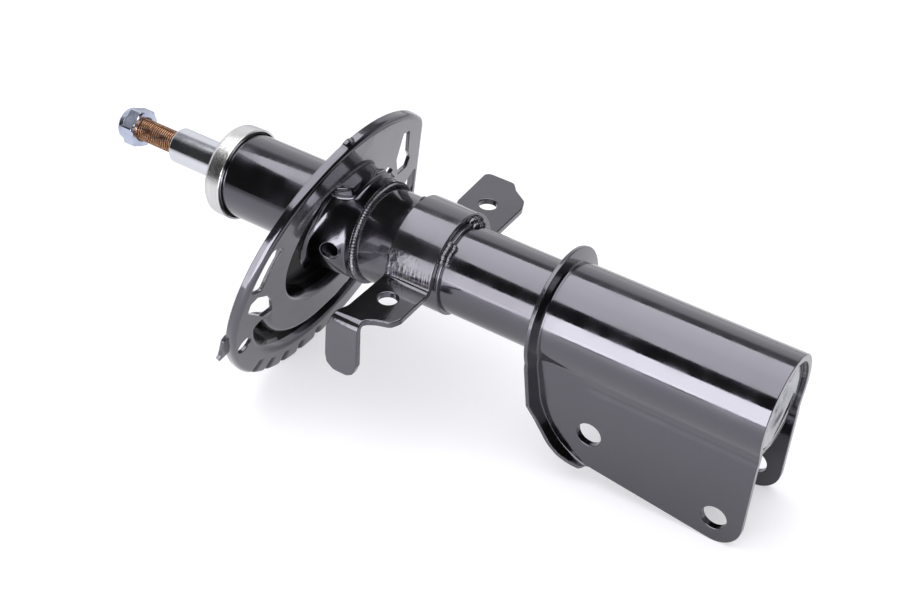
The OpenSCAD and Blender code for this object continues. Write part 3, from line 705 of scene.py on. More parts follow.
# ---------------------------------------------------------------- tube, sleeve, base cup and cap
def tube():
    bore = TUBE_R - TUBE_WALL
    turned(TUBE, [
        (bore, TUBE_FOOT, 0.2),
        (TUBE_R, TUBE_FOOT, 1.4),
        (TUBE_R, TUBE_TOP - UPSET_LEN - UPSET_CONE, 0.8),
        (UPSET_R, TUBE_TOP - UPSET_LEN, 0.8),
        (UPSET_R, TUBE_TOP, 1.5),
        (LIP_BORE_R, TUBE_TOP, 0.6),
        (LIP_BORE_R, TUBE_TOP - LIP_T, 0.4),
        (bore, TUBE_TOP - LIP_T, 0.3),
    ], TUBE, [TUBE], PAINT)


def sleeve():
    inner = TUBE_R + SLIP
    top = SLEEVE_FOOT + SLEEVE_LEN
    turned("seat_sleeve", [
        (inner, SLEEVE_FOOT, 0.2),
        (SLEEVE_R, SLEEVE_FOOT, 0.7),
        (SLEEVE_R, top, 0.7),
        (inner, top, 0.2),
    ], TUBE, ["seat_sleeve"], SLEEVE_PAINT)


def base_cup():
    """Closed end with a dished floor and the ridges of its pressing."""
    rim = TUBE_R - TUBE_WALL - SLIP
    turned("base_cup", [
        (0, TUBE_FOOT + 3.2, 0),
        (5.2, TUBE_FOOT + 3.2, 0.8),
        (6.4, TUBE_FOOT + 2.4, 0.8),
        (12.6, TUBE_FOOT + 2.4, 1.2),
        (14.4, TUBE_FOOT + 1.1, 1.2),
        (rim - 3.4, TUBE_FOOT + 0.1, 1.5),
        (rim, TUBE_FOOT + 0.1, 1.6),
        (rim, TUBE_FOOT + 12, 0.3),
        (rim - 3, TUBE_FOOT + 12, 0.3),
        (rim - 3, TUBE_FOOT + 6, 1.0),
        (0, TUBE_FOOT + 6, 0),
    ], TUBE, ["base_cup"], CUP_METAL)


def bumper_cap():
    """Pressed cap with a rounded shoulder, drawn in very slightly towards it."""
    top = TUBE_TOP + CAP_T
    low = top - CAP_H
    inner = CAP_R - CAP_T
    turned("bumper_cap", [
        (inner, low, 0.3),
        (CAP_R, low, 0.5),
        (CAP_R - 0.3, top, CAP_CORNER),
        (CAP_HOLE_R + 4.5, top, 1.5),
        (CAP_HOLE_R + 3.2, top - 0.35, 1.5),
        (CAP_HOLE_R, top - 0.35, 0.4),
        (CAP_HOLE_R, TUBE_TOP, 0.3),
        (inner, TUBE_TOP, CAP_CORNER - CAP_T),
    ], TUBE, ["bumper_cap"], CAP_METAL)


# ---------------------------------------------------------------- rod, thread and nut
def rod():
    turned("piston_rod", [
        (0, SPIGOT_END, 0),
        (5.2, SPIGOT_END, 0),
        (6, SPIGOT_END + 1, 0.3),
        (6, ROD_BOTTOM, 0.2),
        (ROD_R, ROD_BOTTOM, 0.5),
        (ROD_R, SHOULDER, 1.1),
        (STEM_R - THREAD_DEPTH, SHOULDER, 0.6),
        (STEM_R - THREAD_DEPTH, ROD_END - 2, 0.3),
        (0, ROD_END - 2, 0),
    ], ROD, ["piston_rod"], CHROME)


def thread():
    """Helical thread from the shoulder's relief to the stem's end."""
    segments = 72
    rows = steps(SHOULDER + 0.4, ROD_END - 0.4, THREAD_PITCH / 9)
    angles = np.arange(segments) * 2 * math.pi / segments
    z, angle = np.meshgrid(rows, angles, indexing="ij")
    turn = (z / THREAD_PITCH - angle / (2 * math.pi)) % 1
    crest = smooth(np.abs(turn - 0.5) * 3.2 - 0.35)
    fade = smooth((z - SHOULDER - 0.8) / 2.0) * smooth((ROD_END - 0.2 - z) / 2.2)
    radius = STEM_R - THREAD_DEPTH * (1 - crest * fade) - 0.35 * (1 - fade)
    points = np.stack([radius * np.cos(angle), radius * np.sin(angle), z], -1).reshape(-1, 3)
    faces = []
    for k in range(len(rows) - 1):
        for i in range(segments):
            j = (i + 1) % segments
            faces.append([k * segments + i, k * segments + j, (k + 1) * segments + j, (k + 1) * segments + i])
    faces.append(list(range(segments))[::-1])
    faces.append([(len(rows) - 1) * segments + i for i in range(segments)])
    # Faces in the thread's roots get the painted shade
    shaded_root = ((crest * fade)[:-1] < 0.55).ravel()
    kinds = [*shaded_root.astype(int).tolist(), 0, 0]
    add_piece(
        "stem_thread", points, faces, ROD, [], [THREAD, THREAD_ROOT_SHADE], face_materials=kinds
    )


def nut():
    """Hexagon nut, chamfered on both faces, with the round collar that holds its locking ring."""
    def hexagon(r, z, angle):
        flat = NUT_FLATS / 2 / math.cos((angle - NUT_TURN) % (math.pi / 3) - math.pi / 6)
        return min(r, flat - 0.03) if r > NUT_COLLAR_R + 0.2 else r

    corner = NUT_FLATS / 2 / math.cos(math.pi / 6) - 0.25
    hex_top = NUT_Z + NUT_HEX_H
    top = NUT_Z + NUT_H
    bore = STEM_R + 0.06
    turned("rod_nut", [
        (bore + 0.9, NUT_Z, 0.2),
        (corner - 1.6, NUT_Z, 0.4),
        (corner, NUT_Z + 0.9, 0.3),
        (corner, hex_top - 0.9, 0.3),
        (corner - 1.6, hex_top, 0.4),
        (NUT_COLLAR_R + 0.25, hex_top, 0.1),
        (NUT_COLLAR_R, hex_top + 0.3, 0.3),
        (NUT_COLLAR_R, top - 1.4, 0.8),
        (NUT_COLLAR_R - 1.1, top, 0.8),
        (INSERT_R + 0.3, top - 0.2, 0.3),
        (INSERT_R + 0.05, top - 1.0, 0.1),
        (INSERT_R + 0.05, INSERT_Z, 0.1),
        (bore, INSERT_Z, 0.1),
        (bore, NUT_Z + 0.9, 0.3),
    ], ROD, ["rod_nut"], ZINC, segments=240, shape=hexagon)
    turned("nut_insert", [
        (bore, INSERT_Z, 0.2),
        (INSERT_R, INSERT_Z, 0.2),
        (INSERT_R, INSERT_Z + INSERT_H, 0.5),
        (bore, INSERT_Z + INSERT_H, 0.5),
    ], ROD, ["nut_insert"], INSERT)


# ---------------------------------------------------------------- spring seat
SEAT_ZONES = [(0, 1, 7), (1, 2, 20), (2, 3, 22), (3, 4, 14), (4, 5, 38), (5, 6, 44)]
SEAT_ROUND = 420
SEAT_END = NECK_STATION - 1.5
RECESS_RAMP = (-1.8, 3.4)
RIM_TURN = RIM_BEND * math.pi / 2
RIM_END = RIM_TURN + RIM_DEPTH - SEAT_T / 2 - RIM_BEND
RIM_SPAN = 18.5
LUG_ANGLES = [248.6, 249.6, 251.2, 254.5, 258.8, 260]
LUG_LENGTHS = [0, 9.5, 6.4, 4.8, 3.6, 0]
NIB_ANGLE = math.radians(-10)
NIB_RISE = 2.0
NIB_HALF_WIDTH = 2.4
NOTCH_ANGLES = np.radians(173 + 11.8 * np.arange(5))
DRAIN_STATION = 261.8
DRAIN_R = 5.0
DRAIN_REACH = 36
HOOD_RISE = 3.6
HOOD_REACH = 11
DRAIN_ANGLES = np.radians([-88, 39, 165])
NOTCH_DEPTH = 2.3
NOTCH_HALF_WIDTH = 1.8
SLOT_RADII = (73.4, 84.6)
SLOT_ANGLES = (283, 304)
SLOT_CORNER = 2.5
PILOT_R = 5.5
PILOT_DIST = 79.6
PILOT_ANGLE = math.radians(250)
# Depths and reaches of the painted shade in the seat's recess and channel
HOLLOW_SHADE_DEPTHS = (3.2, 4.8)
HOLLOW_SHADE_REACH = 75
HOLLOW_SHADE_START = 37
D_HOLE = [(3, -80), (10, -79.5), (12, -74.5), (6, -64), (-2, -58.5), (-12, -55), (-11.2, -64)]
UPPER_SLIT = [(65, 40.5), (64, 46.5), (43, 54), (36.5, 58.5), (29, 58.5), (28, 50), (44, 42.3)]
SIDE_SLIT = [(19.5, 70), (18.5, 72.4), (-4, 79.3), (-6, 72), (8, 62)]


def polar_window(u, v, radii, angles, corner):
    """Distance into an opening between two radii and two angles, with rounded corners."""
    radius, angle = np.hypot(u, v), np.arctan2(v, u)
    middle = math.radians(sum(angles) / 2)
    apart = (angle - middle + math.pi) % (2 * math.pi) - math.pi
    across = np.abs(apart) * radius - math.radians(angles[1] - angles[0]) / 2 * sum(radii) / 2 + corner
    along = np.abs(radius - sum(radii) / 2) - (radii[1] - radii[0]) / 2 + corner
    outside = np.hypot(np.maximum(across, 0), np.maximum(along, 0)) + np.minimum(np.maximum(across, along), 0)
    return corner - outside


def rim_radius(angle, inset):
    """Radius of the rim's outline, with the flat and its eased corners, drawn in by an inset."""
    flat = (FLAT_DIST - inset) / np.maximum(np.cos(angle - FLAT_ANGLE), 0.05)
    circle = SEAT_R - inset
    ease = np.clip(0.5 + (flat - circle) / 6, 0, 1)
    return flat + (circle - flat) * ease - 1.5 * ease * (1 - ease)


def recess_reach(u, v):
    """Distance outside the recess: round, with a straight and gentler side towards the rim's flat."""
    to_round = np.hypot(u - RECESS_AT[0], v - RECESS_AT[1]) - RECESS_R
    to_side = 0.5 * (u * math.cos(RECESS_SIDE_ANGLE) + v * math.sin(RECESS_SIDE_ANGLE) - RECESS_SIDE)
    blend = np.maximum(8 - np.abs(to_round - to_side), 0)
    return np.maximum(to_round, to_side) + blend * blend / 32


def seat_height(u, v):
    """Height of the dish's middle surface: recess, channel and notches."""
    radius, angle = np.hypot(u, v), np.degrees(np.arctan2(v, u)) % 360
    ramp = smooth((recess_reach(u, v) - RECESS_RAMP[0]) / (RECESS_RAMP[1] - RECESS_RAMP[0]))
    height = SEAT_T / 2 + RECESS_DEPTH * (1 - ramp)
    wall = smooth((8.3 - np.abs(radius - sum(CHANNEL_R) / 2)) / 7.3)
    ends = smooth((angle - CHANNEL_ANGLES[0] + 3) / 7) * smooth((CHANNEL_ANGLES[1] + 3 - angle) / 7)
    height = height + CHANNEL_DEPTH * wall * ends
    for notch in NOTCH_ANGLES:
        side = v * np.cos(notch) - u * np.sin(notch)
        ahead = u * np.cos(notch) + v * np.sin(notch)
        height = height + NOTCH_DEPTH * hump(side / NOTCH_HALF_WIDTH) * smooth((ahead - SEAT_R + 12) / 4)
    return height


def seat_surface(degrees, zone):
    """Middle surface of the seat, zone by zone from the neck's free end out to the rim."""
    angle = np.radians(degrees)
    part = [np.clip(zone - k, -0.05 if k == 0 else 0, 1) for k in range(len(SEAT_ZONES))]
    cos, sin = np.cos(angle), np.sin(angle)

    foot_r = NECK_FOOT_R[0] + NECK_FOOT_R[1] * np.cos(angle - NECK_FOOT_R[2])
    foot_v = foot_r * sin + SEAT_SIDE
    mid = np.full(np.shape(angle), RECESS_DEPTH + SEAT_T / 2)
    for _ in range(3):
        foot_u = (foot_r * cos - mid * math.sin(SEAT_TILT)) / math.cos(SEAT_TILT) + SEAT_DROP
        mid = seat_height(foot_u, foot_v)

    def floor_station(radius):
        return SEAT_STATION - radius * cos * math.tan(SEAT_TILT) + mid / math.cos(SEAT_TILT)

    straight_top = NECK_STATION + NECK_STRAIGHT
    t = part[1]
    knee = NECK_MID_R + 0.9
    radius = (1 - t) ** 2 * NECK_MID_R + 2 * t * (1 - t) * knee + t * t * foot_r
    at_knee, at_foot = floor_station(knee), floor_station(foot_r)
    station = (1 - t) ** 2 * straight_top + 2 * t * (1 - t) * at_knee + t * t * at_foot
    station = np.where(zone < 1, SEAT_END + part[0] * (straight_top - SEAT_END), station)
    for drain in DRAIN_ANGLES:
        apart = np.hypot(station - DRAIN_STATION - 4, radius * np.sin(angle - drain))
        hood = hump(apart / HOOD_REACH) * (np.cos(angle - drain) > 0)
        radius = radius + HOOD_RISE * hood * smooth((station - NECK_STATION - 3) / 5) * (1 - t * t)
    neck = np.stack([radius * cos, radius * sin, station], -1)

    ring = RECESS_R + RECESS_RAMP[0] + part[3] * (RECESS_RAMP[1] - RECESS_RAMP[0])
    ring_u, ring_v = RECESS_AT[0] + ring * cos, RECESS_AT[1] + ring * sin
    rim = rim_radius(angle, SEAT_T / 2 + RIM_BEND)
    turned_up = np.clip(zone - 5, -0.05, 1.05) * RIM_SPAN
    u = foot_u + part[2] * (ring_u - foot_u)
    v = foot_v + part[2] * (ring_v - foot_v)
    u = u + part[4] * (rim * cos - u)
    v = v + part[4] * (rim * sin - v)
    w = seat_height(u, v)

    bend = np.clip(turned_up / RIM_BEND, 0, math.pi / 2)
    out = RIM_BEND * np.sin(bend) + np.maximum(turned_up - RIM_END, 0)
    rise = RIM_BEND * (1 - np.cos(bend)) + np.clip(turned_up, RIM_TURN, RIM_END) - RIM_TURN
    aside = (angle - NIB_ANGLE - 2 * math.pi * (angle > math.pi)) * SEAT_R
    nib = NIB_RISE * hump(aside / NIB_HALF_WIDTH)
    edge = rim_radius(angle, SEAT_T / 2 + RIM_BEND - out) + nib * smooth((turned_up - 1.5) / 3)
    outer = zone > 5
    u = np.where(outer, edge * cos, u)
    v = np.where(outer, edge * sin, v)
    w = np.where(outer, seat_height(rim * cos, rim * sin) + rise, w)
    return np.where((zone < 2)[..., None], neck, seat_to_strut(u, v, w))


def seat_distance(degrees, zone):
    """Distance outside the seat's outline: past the neck's end, past the rim, or inside an opening."""
    point = seat_surface(degrees, zone)
    x, y, z = np.moveaxis(point, -1, 0)
    u, v, _ = strut_to_seat(x, y, z)
    end = NECK_STATION - (SEAT_END + np.minimum(zone, 1) * (NECK_STATION + NECK_STRAIGHT - SEAT_END))
    past = (zone - 5) * RIM_SPAN - RIM_END - np.interp(degrees, LUG_ANGLES, LUG_LENGTHS)
    openings = [
        polar_window(u, v, SLOT_RADII, SLOT_ANGLES, SLOT_CORNER),
        *(-outline_distance(hole)(u, v) for hole in (D_HOLE, UPPER_SLIT, SIDE_SLIT)),
        PILOT_R - np.hypot(u - PILOT_DIST * math.cos(PILOT_ANGLE), v - PILOT_DIST * math.sin(PILOT_ANGLE)),
    ]
    for drain in DRAIN_ANGLES:
        aside = DRAIN_R - np.hypot(z - DRAIN_STATION, y * np.cos(drain) - x * np.sin(drain))
        ahead = x * np.cos(drain) + y * np.sin(drain)
        openings.append(np.where(ahead > 0, np.minimum(aside, DRAIN_REACH - np.hypot(x, y)), -20))
    return np.max([end, past, *openings], axis=0)


def paint_hollow_shade(seat):
    """Gives the faces of the recess and channel, seen from below, the duller paints of their painted shade:
    two steps by depth.
    """
    for face in seat.data.polygons:
        x, y, z = np.array(face.center) * 1000 @ TURN.T + ORIGIN
        u, v, depth = strut_to_seat(x, y, z)
        below = AXIS @ np.array(face.normal) < 0
        inside = math.hypot(u, v) < HOLLOW_SHADE_REACH and math.hypot(x, y) > HOLLOW_SHADE_START
        if face.material_index == 0 and below and inside and depth > HOLLOW_SHADE_DEPTHS[0]:
            face.material_index = 3 if depth > HOLLOW_SHADE_DEPTHS[1] else 2


def spring_seat():
    zones = np.unique(np.concatenate([np.linspace(low, high, count + 1) for low, high, count in SEAT_ZONES]))
    degrees = np.arange(SEAT_ROUND) * 360 / SEAT_ROUND
    seat = sheet(
        "spring_seat", seat_surface, seat_distance, degrees, zones, SEAT_T,
        ["spring_seat"], [SEAT_PAINT, EDGE, *SEAT_HOLLOW_SHADES], period=360
    )
    # Painted shade in the seat's recess and channel
    paint_hollow_shade(seat)


# ---------------------------------------------------------------- link bracket
EAR_BEND_Y = -HOOK_REACH + LINK_T / 2 + TAB_BEND
EAR_BEND_X = EAR_MID - TAB_BEND
CORNER_RISE = EAR_MID + LINK_FILLET
CORNER_REACH = LINK_MID_R + LINK_FILLET
CORNER_ANGLE = 90 - math.degrees(math.asin(CORNER_RISE / CORNER_REACH))
CORNER_Y = math.sqrt(CORNER_REACH**2 - CORNER_RISE**2)
LINK_PATH = (
    Section(EAR_BEND_Y - TAB_BEND, TAB_LOW, 90)
    .line(EAR_BEND_X - TAB_LOW)
    .arc(TAB_BEND, -90)
    .line(-CORNER_Y - EAR_BEND_Y)
    .arc(LINK_FILLET, CORNER_ANGLE)
    .arc(LINK_MID_R, -2 * CORNER_ANGLE)
    .arc(LINK_FILLET, CORNER_ANGLE)
    .line(PLAIN_REACH - CORNER_Y)
)
TAB_TURN = EAR_BEND_X - TAB_LOW
NEAR_EAR = TAB_TURN + TAB_BEND * math.pi / 2 - EAR_BEND_Y
FAR_EAR = LINK_PATH.length - PLAIN_REACH
LINK_OUTLINE = [
    (0, 217, 4), (2.5, 213, 3), (9, 210.5, 3), (NEAR_EAR - 71, 210.3, 5), (NEAR_EAR - 67.5, 204.5, 6),
    (NEAR_EAR - 65, 197.2, 4), (NEAR_EAR - 59, 194.8, 4), (NEAR_EAR - 30, 195.5, 6),
    (FAR_EAR + 30, 195.5, 6), (FAR_EAR + 68, 196.5, 4), (FAR_EAR + 75.5, 199.5, 4), (FAR_EAR + 82, 209, 4),
    (FAR_EAR + 88, 214, 3), (FAR_EAR + 88, 231, 2), (FAR_EAR + 85.5, 233.5, 2), (FAR_EAR + 52, 231.5, 6),
    (FAR_EAR + 38, 225.5, 8), (NEAR_EAR - 40, 224.5, 6), (NEAR_EAR - 66, 224.5, 6), (TAB_TURN - 5, 231, 5),
    (9, 231.5, 4), (3.5, 230.5, 2), (0, 226, 4),
]


def link_bracket():
    """Hat-shaped bracket: a tab, an ear, the strap over the sleeve and the other ear, bent from one strip."""
    (near_at, *near), (far_at, *far) = LINK_HOLES
    holes = [(NEAR_EAR + near_at, *near), (FAR_EAR + far_at, *far)]
    sheet(
        "link_bracket", LINK_PATH.wall, pierced(rounded(LINK_OUTLINE)[0], holes),
        steps(-1.5, LINK_PATH.length + 1.5, 0.9), steps(193.5, 235, 1.3), LINK_T,
        ["link_bracket"], [LINK_PAINT, EDGE], edge=0.7
    )


# ---------------------------------------------------------------- knuckle bracket
EAR_FILLET = 10.0
EAR_TOP_X = -math.sqrt((CLAMP_MID_R + EAR_FILLET) ** 2 - (EAR_Y + EAR_FILLET) ** 2)
# The flare's length past its fold, at these X on the ear: it dwindles towards the low corner
LIP_AT = [-71.3, -70.3, -68.3, -65, -60.5, -55, -48.7, -43.9, -38.6, -30, -22, EAR_TOP_X - 4]
LIP_LENGTHS = [0, 5.5, 7.4, 8.9, 9.3, 8.9, 9.5, 10.9, 12.6, 14.4, 13.4, FLARE_LEN]
FILLET_ANGLE = math.degrees(math.asin(-EAR_TOP_X / (CLAMP_MID_R + EAR_FILLET)))
KNUCKLE_PATH = (
    Section(-EAR_Y, -EAR_DEPTH, 90)
    .line(EAR_TOP_X + EAR_DEPTH)
    .arc(EAR_FILLET, FILLET_ANGLE)
    .arc(CLAMP_MID_R, -180 - 2 * FILLET_ANGLE)
    .arc(EAR_FILLET, FILLET_ANGLE)
    .line(EAR_TOP_X + EAR_DEPTH)
)
HALF = KNUCKLE_PATH.length / 2
DENT_DEPTH = 0.9
DENT_X = -17
DENT_HALF_WIDTH = 3.4


def arc_points(x, y, radius, first, last, count=14):
    """Points of an arc between two angles in degrees."""
    turns = np.radians(np.linspace(first, last, count))
    return np.stack([x + radius * np.cos(turns), y + radius * np.sin(turns)], -1)


def knuckle_outlines():
    """Unrolled near half, as (along, station): the fold of the flare, and the outline round it."""
    t = np.linspace(1, 0, 24)[:, None]
    top, knee, low = FLARE_FOLD
    fold = (1 - t) ** 2 * top + 2 * t * (1 - t) * knee + t * t * low
    tangent = unit((1 - t) * (top - knee) + t * (knee - low))
    outward = np.vstack([tangent[:, ::-1] * [-1, 1], [(0, 1)]])
    bend = np.vstack([fold, [(EAR_TOP_X - 4, FLARE_STATION)]])
    outer = bend + outward * np.interp(bend[:, 0], LIP_AT, LIP_LENGTHS)[:, None]
    dx, dz = low - CORNER[:2]
    lean = math.degrees(math.asin(CORNER[2] / math.hypot(dx, dz)) - math.atan2(-dx, dz))
    side = np.vstack([arc_points(*CORNER[:2], CORNER[2], 270, 180 - lean), outer])
    bend[:, 0] += EAR_DEPTH
    side[:, 0] += EAR_DEPTH
    return bend, side


def mirrored(points, centre):
    """Points followed by their mirror images on the far side."""
    return np.vstack([points, (points * [-1, 1] + [2 * centre, 0])[::-1]])


def knuckle_bracket():
    """U clamp bent from thick plate, its upper edge turned out into a flare that runs round both ears."""
    bend, side = knuckle_outlines()
    fall = unit(side[np.argmin(side[:, 0])] - bend[0]) * 400
    region = mirrored(np.vstack([bend[:1] + fall, bend]), HALF)
    bend, side = mirrored(bend, HALF), mirrored(side, HALF)
    beyond = outline_distance(region)
    holes = [(x + EAR_DEPTH, z, r) for x, z, r in BOLT_HOLES]
    holes += [(2 * HALF - along, z, r) for along, z, r in holes]

    def plate(along, z):
        y, x = KNUCKLE_PATH.at(along)
        shape = hump((x - DENT_X) / DENT_HALF_WIDTH) * (x < 0)
        dent = DENT_DEPTH * shape * smooth((CLAMP_LEN - 12 - z) / 20)
        return np.stack([x, y - np.sign(y) * dent, z], -1)

    def nearest_fold(along, z):
        """Nearest point of the fold, and how far beyond it the flare reaches."""
        start, end = bend[:-1], bend[1:]
        edge = end - start
        best = np.full(np.shape(along), np.inf)
        foot_a, foot_z = along.copy(), z.copy()
        for (ax, az), (ex, ez) in zip(start, edge):
            t = np.clip(((along - ax) * ex + (z - az) * ez) / (ex * ex + ez * ez), 0, 1)
            px, pz = ax + t * ex, az + t * ez
            gap = np.square(along - px) + np.square(z - pz)
            nearer = gap < best
            best = np.where(nearer, gap, best)
            foot_a, foot_z = np.where(nearer, px, foot_a), np.where(nearer, pz, foot_z)
        at_end = (foot_a == bend[0, 0]) | (foot_a == bend[-1, 0])
        return foot_a, foot_z, np.where((beyond(along, z) > 0) & ~at_end, np.sqrt(best), 0)

    def thickness(along, z):
        return CLAMP_T - FLARE_THINNING * smooth(nearest_fold(along, z)[2] / FLARE_LEN)

    def surface(along, z):
        foot_a, foot_z, reach = nearest_fold(along, z)
        out_a, out_z = along - foot_a, z - foot_z
        foot = plate(foot_a, foot_z)
        pa, pz = slopes(plate, foot_a, foot_z)
        normal = unit(np.cross(pa, pz))
        scale = np.maximum(np.hypot(out_a, out_z), 1e-9)[..., None]
        outward = unit(pa) * out_a[..., None] / scale + unit(pz) * out_z[..., None] / scale
        turn = np.clip(reach / FLARE_BEND_R, 0, FLARE_BEND)
        straight = np.maximum(reach - FLARE_BEND_R * FLARE_BEND, 0)
        ahead_by = FLARE_BEND_R * np.sin(turn) + straight * math.cos(FLARE_BEND)
        rise = FLARE_BEND_R * (1 - np.cos(turn)) + straight * math.sin(FLARE_BEND)
        flared = foot + outward * ahead_by[..., None] + normal * rise[..., None]
        return np.where((reach > 0)[..., None], flared, plate(along, z))

    sheet(
        "knuckle_bracket", surface, pierced(side, holes),
        steps(-2, 2 * HALF + 2, 1.1), steps(-1.3, 143, 1.0), thickness,
        ["knuckle_bracket"], [KNUCKLE_PAINT, EDGE], edge=0.5
    )


def saddle_plate():
    """Cradle under the tube, between the ears."""
    half = math.degrees(math.asin(SADDLE_HALF_WIDTH / SADDLE_R))
    low = -math.sqrt(SADDLE_R**2 - SADDLE_HALF_WIDTH**2)
    path = Section(-SADDLE_HALF_WIDTH, low, half - 90).arc(SADDLE_R, 2 * half)
    outline = outline_distance(rounded([
        (0, 2.5, 1), (path.length, 2.5, 1), (path.length, CLAMP_LEN, 2), (0, CLAMP_LEN, 2)
    ])[0])
    sheet(
        "saddle_plate", path.wall, outline, steps(-1.5, path.length + 1.5, 2.0),
        steps(0.5, CLAMP_LEN + 2, 3.0), SADDLE_T, ["saddle_plate"],
        [KNUCKLE_PAINT, EDGE]
    )


# ---------------------------------------------------------------- welds
def bead(radius, station, size, first, last, seed, ripple=1.6, round_steps=14):
    """Rippled bead along an arc round the strut: points and faces, closed where it goes all the way round."""
    whole = last - first >= 360
    draw = np.random.default_rng(seed)
    arc = math.radians(last - first) * radius
    count = max(12, int(arc / (ripple / 6)))
    t = np.arange(count) / (count if whole else count - 1)
    angle = np.radians(first + (last - first) * t)
    waves = [(k, draw.uniform(0, 2 * math.pi), draw.uniform(0.3, 1.0) / k) for k in (2, 3, 5, 9)]
    wander = sum(part * np.sin(k * 2 * math.pi * t + phase) for k, phase, part in waves)
    step = (t * max(3, round(arc / ripple)) + 0.25 * np.sin(7 * 2 * math.pi * t)) % 1
    thick = size * (0.78 + 0.36 * (1 - step) ** 1.5 + 0.06 * wander)
    if not whole:
        thick = thick * np.sqrt(np.clip(np.minimum(t, 1 - t) * arc / size, 0.02, 1))
    turns = np.arange(round_steps) * 2 * math.pi / round_steps
    swing, phi = np.meshgrid(angle, turns, indexing="ij")
    out = radius + 0.2 * wander[:, None] + thick[:, None] * np.cos(phi)
    up = station + 0.3 * wander[:, None] + thick[:, None] * np.sin(phi)
    points = np.stack([out * np.cos(swing), out * np.sin(swing), up], -1).reshape(-1, 3)
    faces = []
    for i in range(count if whole else count - 1):
        for j in range(round_steps):
            k, m = (i + 1) % count, (j + 1) % round_steps
            faces.append([i * round_steps + j, k * round_steps + j, k * round_steps + m, i * round_steps + m])
    if not whole:
        faces.append(list(range(round_steps)))
        faces.append([(count - 1) * round_steps + j for j in range(round_steps)][::-1])
    return points, faces


def beads(name, parts, nodes):
    """Piece of several beads, each with its own seed."""
    points = []
    faces = []
    start = 0
    for seed, part in enumerate(parts):
        part_points, part_faces = bead(*part, seed=seed + len(name))
        points.append(part_points)
        faces += [[p + start for p in face] for face in part_faces]
        start += len(part_points)
    piece = add_piece(name, np.concatenate(points), faces, TUBE, nodes, [BEAD])
    piece.data.set_sharp_from_angle(angle=math.pi)


def welds():
    """All beads, each as (radius, station, size, first and last angle in degrees)."""
    beads("seat_weld", [(28.3, 249.2, 2.5, 0, 360)], ["seat_weld"])
    link = []
    for first, last in ((-56, -26), (10, 40), (150, 185)):
        link.append((28.2, 194.6, 2.3, first, last))
        link.append((26.2, 192.2, 2.0, first, last))
    link.append((28.2, 226.2, 2.3, 8, 26))
    beads("link_bracket_welds", link, ["link_bracket_welds"])
    knuckle = []
    for first, last in ((-85, -40), (-20, 20), (40, 85)):
        knuckle.append((26.6, 126.8, 2.6, first, last))
        knuckle.append((25.9, 2.3, 1.4, first, last))
    beads("knuckle_bracket_welds", knuckle, ["knuckle_bracket_welds"])


# ---------------------------------------------------------------- stage
FLOOR_REACH = 6.0
GLOSSY_SHARE = 0.4
FLOOR_GLOW = 0.55


def floor():
    """Pale floor that keeps the strut's shadow, and looks nearly white to the camera."""
    low = CAD_BOX[0].z
    corners = [(x * FLOOR_REACH, y * FLOOR_REACH, low) for x, y in ((-1, -1), (1, -1), (1, 1), (-1, 1))]
    mesh = bpy.data.meshes.new("floor")
    mesh.from_pydata(corners, [], [(0, 1, 2, 3)])
    plane = add_object("floor", mesh)
    material = bpy.data.materials.new("floor")
    material.use_nodes = True
    tree = material.node_tree
    rays = add_node(tree, "LightPath", {}).outputs
    seen = math_node(tree, "ADD", rays["Is Camera Ray"], rays["Is Transmission Ray"])
    seen = math_node(tree, "MULTIPLY_ADD", rays["Is Glossy Ray"], GLOSSY_SHARE, seen)
    looks = {
        "Base Color": (0.5, 0.497, 0.515, 1),
        "Roughness": 0.6,
        "Specular IOR Level": 0.1,
        "Emission Color": (0.95, 0.945, 0.98, 1),
        "Emission Strength": math_node(tree, "MULTIPLY", seen, FLOOR_GLOW),
    }
    for socket, value in looks.items():
        set_input(tree, tree.nodes["Principled BSDF"], socket, value)
    mesh.materials.append(material)


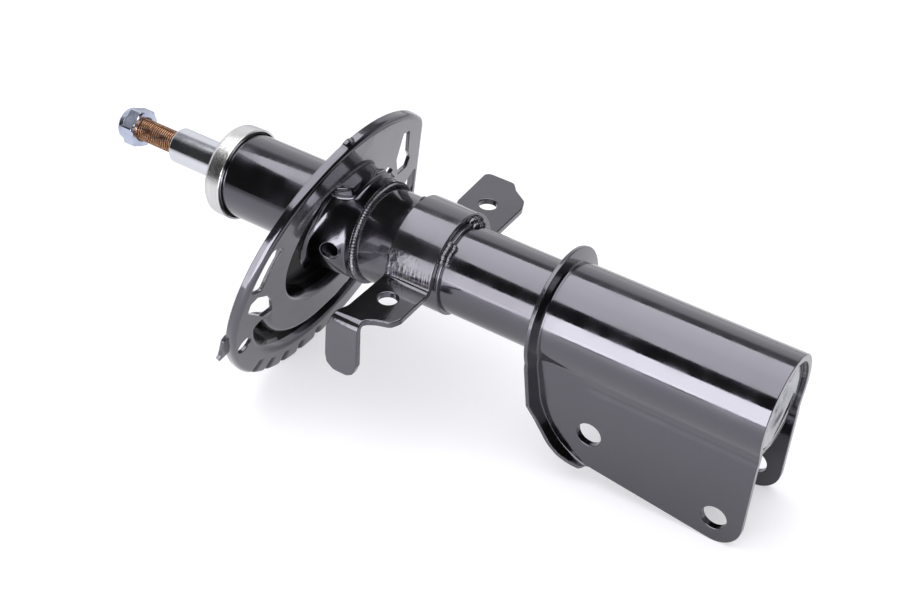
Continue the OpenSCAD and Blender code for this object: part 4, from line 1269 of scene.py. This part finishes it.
def surroundings():
    """Studio: pale towards the backdrop behind the strut, dark above it and on the near left."""
    world = bpy.data.worlds.new("studio")
    bpy.context.scene.world = world
    world.use_nodes = True
    tree = world.node_tree
    direction = add_node(tree, "TexCoord", {}).outputs["Generated"]
    split = add_node(tree, "SeparateXYZ", {"Vector": direction}).outputs
    edge = math_node(tree, "MULTIPLY_ADD", split["X"], -0.52, 0.465)
    low = map_range(tree, math_node(tree, "SUBTRACT", split["Z"], edge), -0.06, 0.06, 1, 0)
    back = math_node(tree, "MULTIPLY_ADD", split["X"], -0.75, split["Y"])
    behind = map_range(tree, back, -0.05, 0.3, 0, 1)
    pale = math_node(tree, "MULTIPLY_ADD", low, 0.57, 0.26)
    background = tree.nodes["Background"]
    set_input(tree, background, "Strength", math_node(tree, "MULTIPLY_ADD", behind, pale, 0.03))
    set_input(tree, background, "Color", (0.97, 0.965, 1.0, 1))


def softbox(name, at, towards, size, radiance, shape="RECTANGLE"):
    """Lamp of an even radiance over its face."""
    lamp = bpy.data.lights.new(name, "AREA")
    lamp.shape = shape
    lamp.size, lamp.size_y = size
    area = size[0] * size[1] * (math.pi / 4 if shape == "DISK" else 1)
    lamp.energy = radiance * area * math.pi
    lamp_object = add_object(name, lamp)
    lamp_object.location = at
    lamp_object.rotation_euler = (Vector(towards) - Vector(at)).to_track_quat("-Z", "Y").to_euler()
    lamp_object.visible_camera = False


def lights():
    softbox("overhead_box", (0.0, -0.02, 1.30), (0.0, -0.02, 0.0), (1.90, 1.90), 2.8, "DISK")
    softbox("front_box", (0.0, -0.62, 0.175), (0.0, 0.0, 0.175), (0.50, 0.37), 6.4)
    softbox("front_box_side", (-0.33, -0.62, 0.165), (-0.33, 0.0, 0.165), (0.16, 0.39), 3.9)


CAMERA_AT = Vector((0.26695, -0.57441, 0.53689))
CAMERA_BACK = Vector((0.43809, -0.67383, 0.59500))
CAMERA_ROLL = math.radians(0.22)
CAMERA_LENS = 60.06


def camera():
    """The photograph's view, fitted to the tube's edges, the rod, the cap and the bolt holes."""
    turn = CAMERA_BACK.to_track_quat("Z", "Y").to_matrix() @ Matrix.Rotation(CAMERA_ROLL, 3, "Z")
    lens = bpy.data.cameras.new("camera")
    lens.sensor_width = 36
    lens.lens = CAMERA_LENS
    lens.clip_start = 0.01
    view = add_object("camera", lens)
    view.matrix_world = Matrix.Translation(CAMERA_AT) @ turn.to_4x4()
    bpy.context.scene.camera = view


def inner_parts():
    """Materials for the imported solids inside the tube, by their slot."""
    for part in frame["record"]["subparts"]:
        for place in frame["nodes"][part["node"]].material_slots:
            place.material = INNER.get(part["material_slot"], place.material)


camera()
floor()
surroundings()
lights()
tube()
sleeve()
base_cup()
bumper_cap()
rod()
thread()
nut()
spring_seat()
link_bracket()
knuckle_bracket()
saddle_plate()
welds()
inner_parts()

bpy.context.scene.view_settings.view_transform = "Standard"
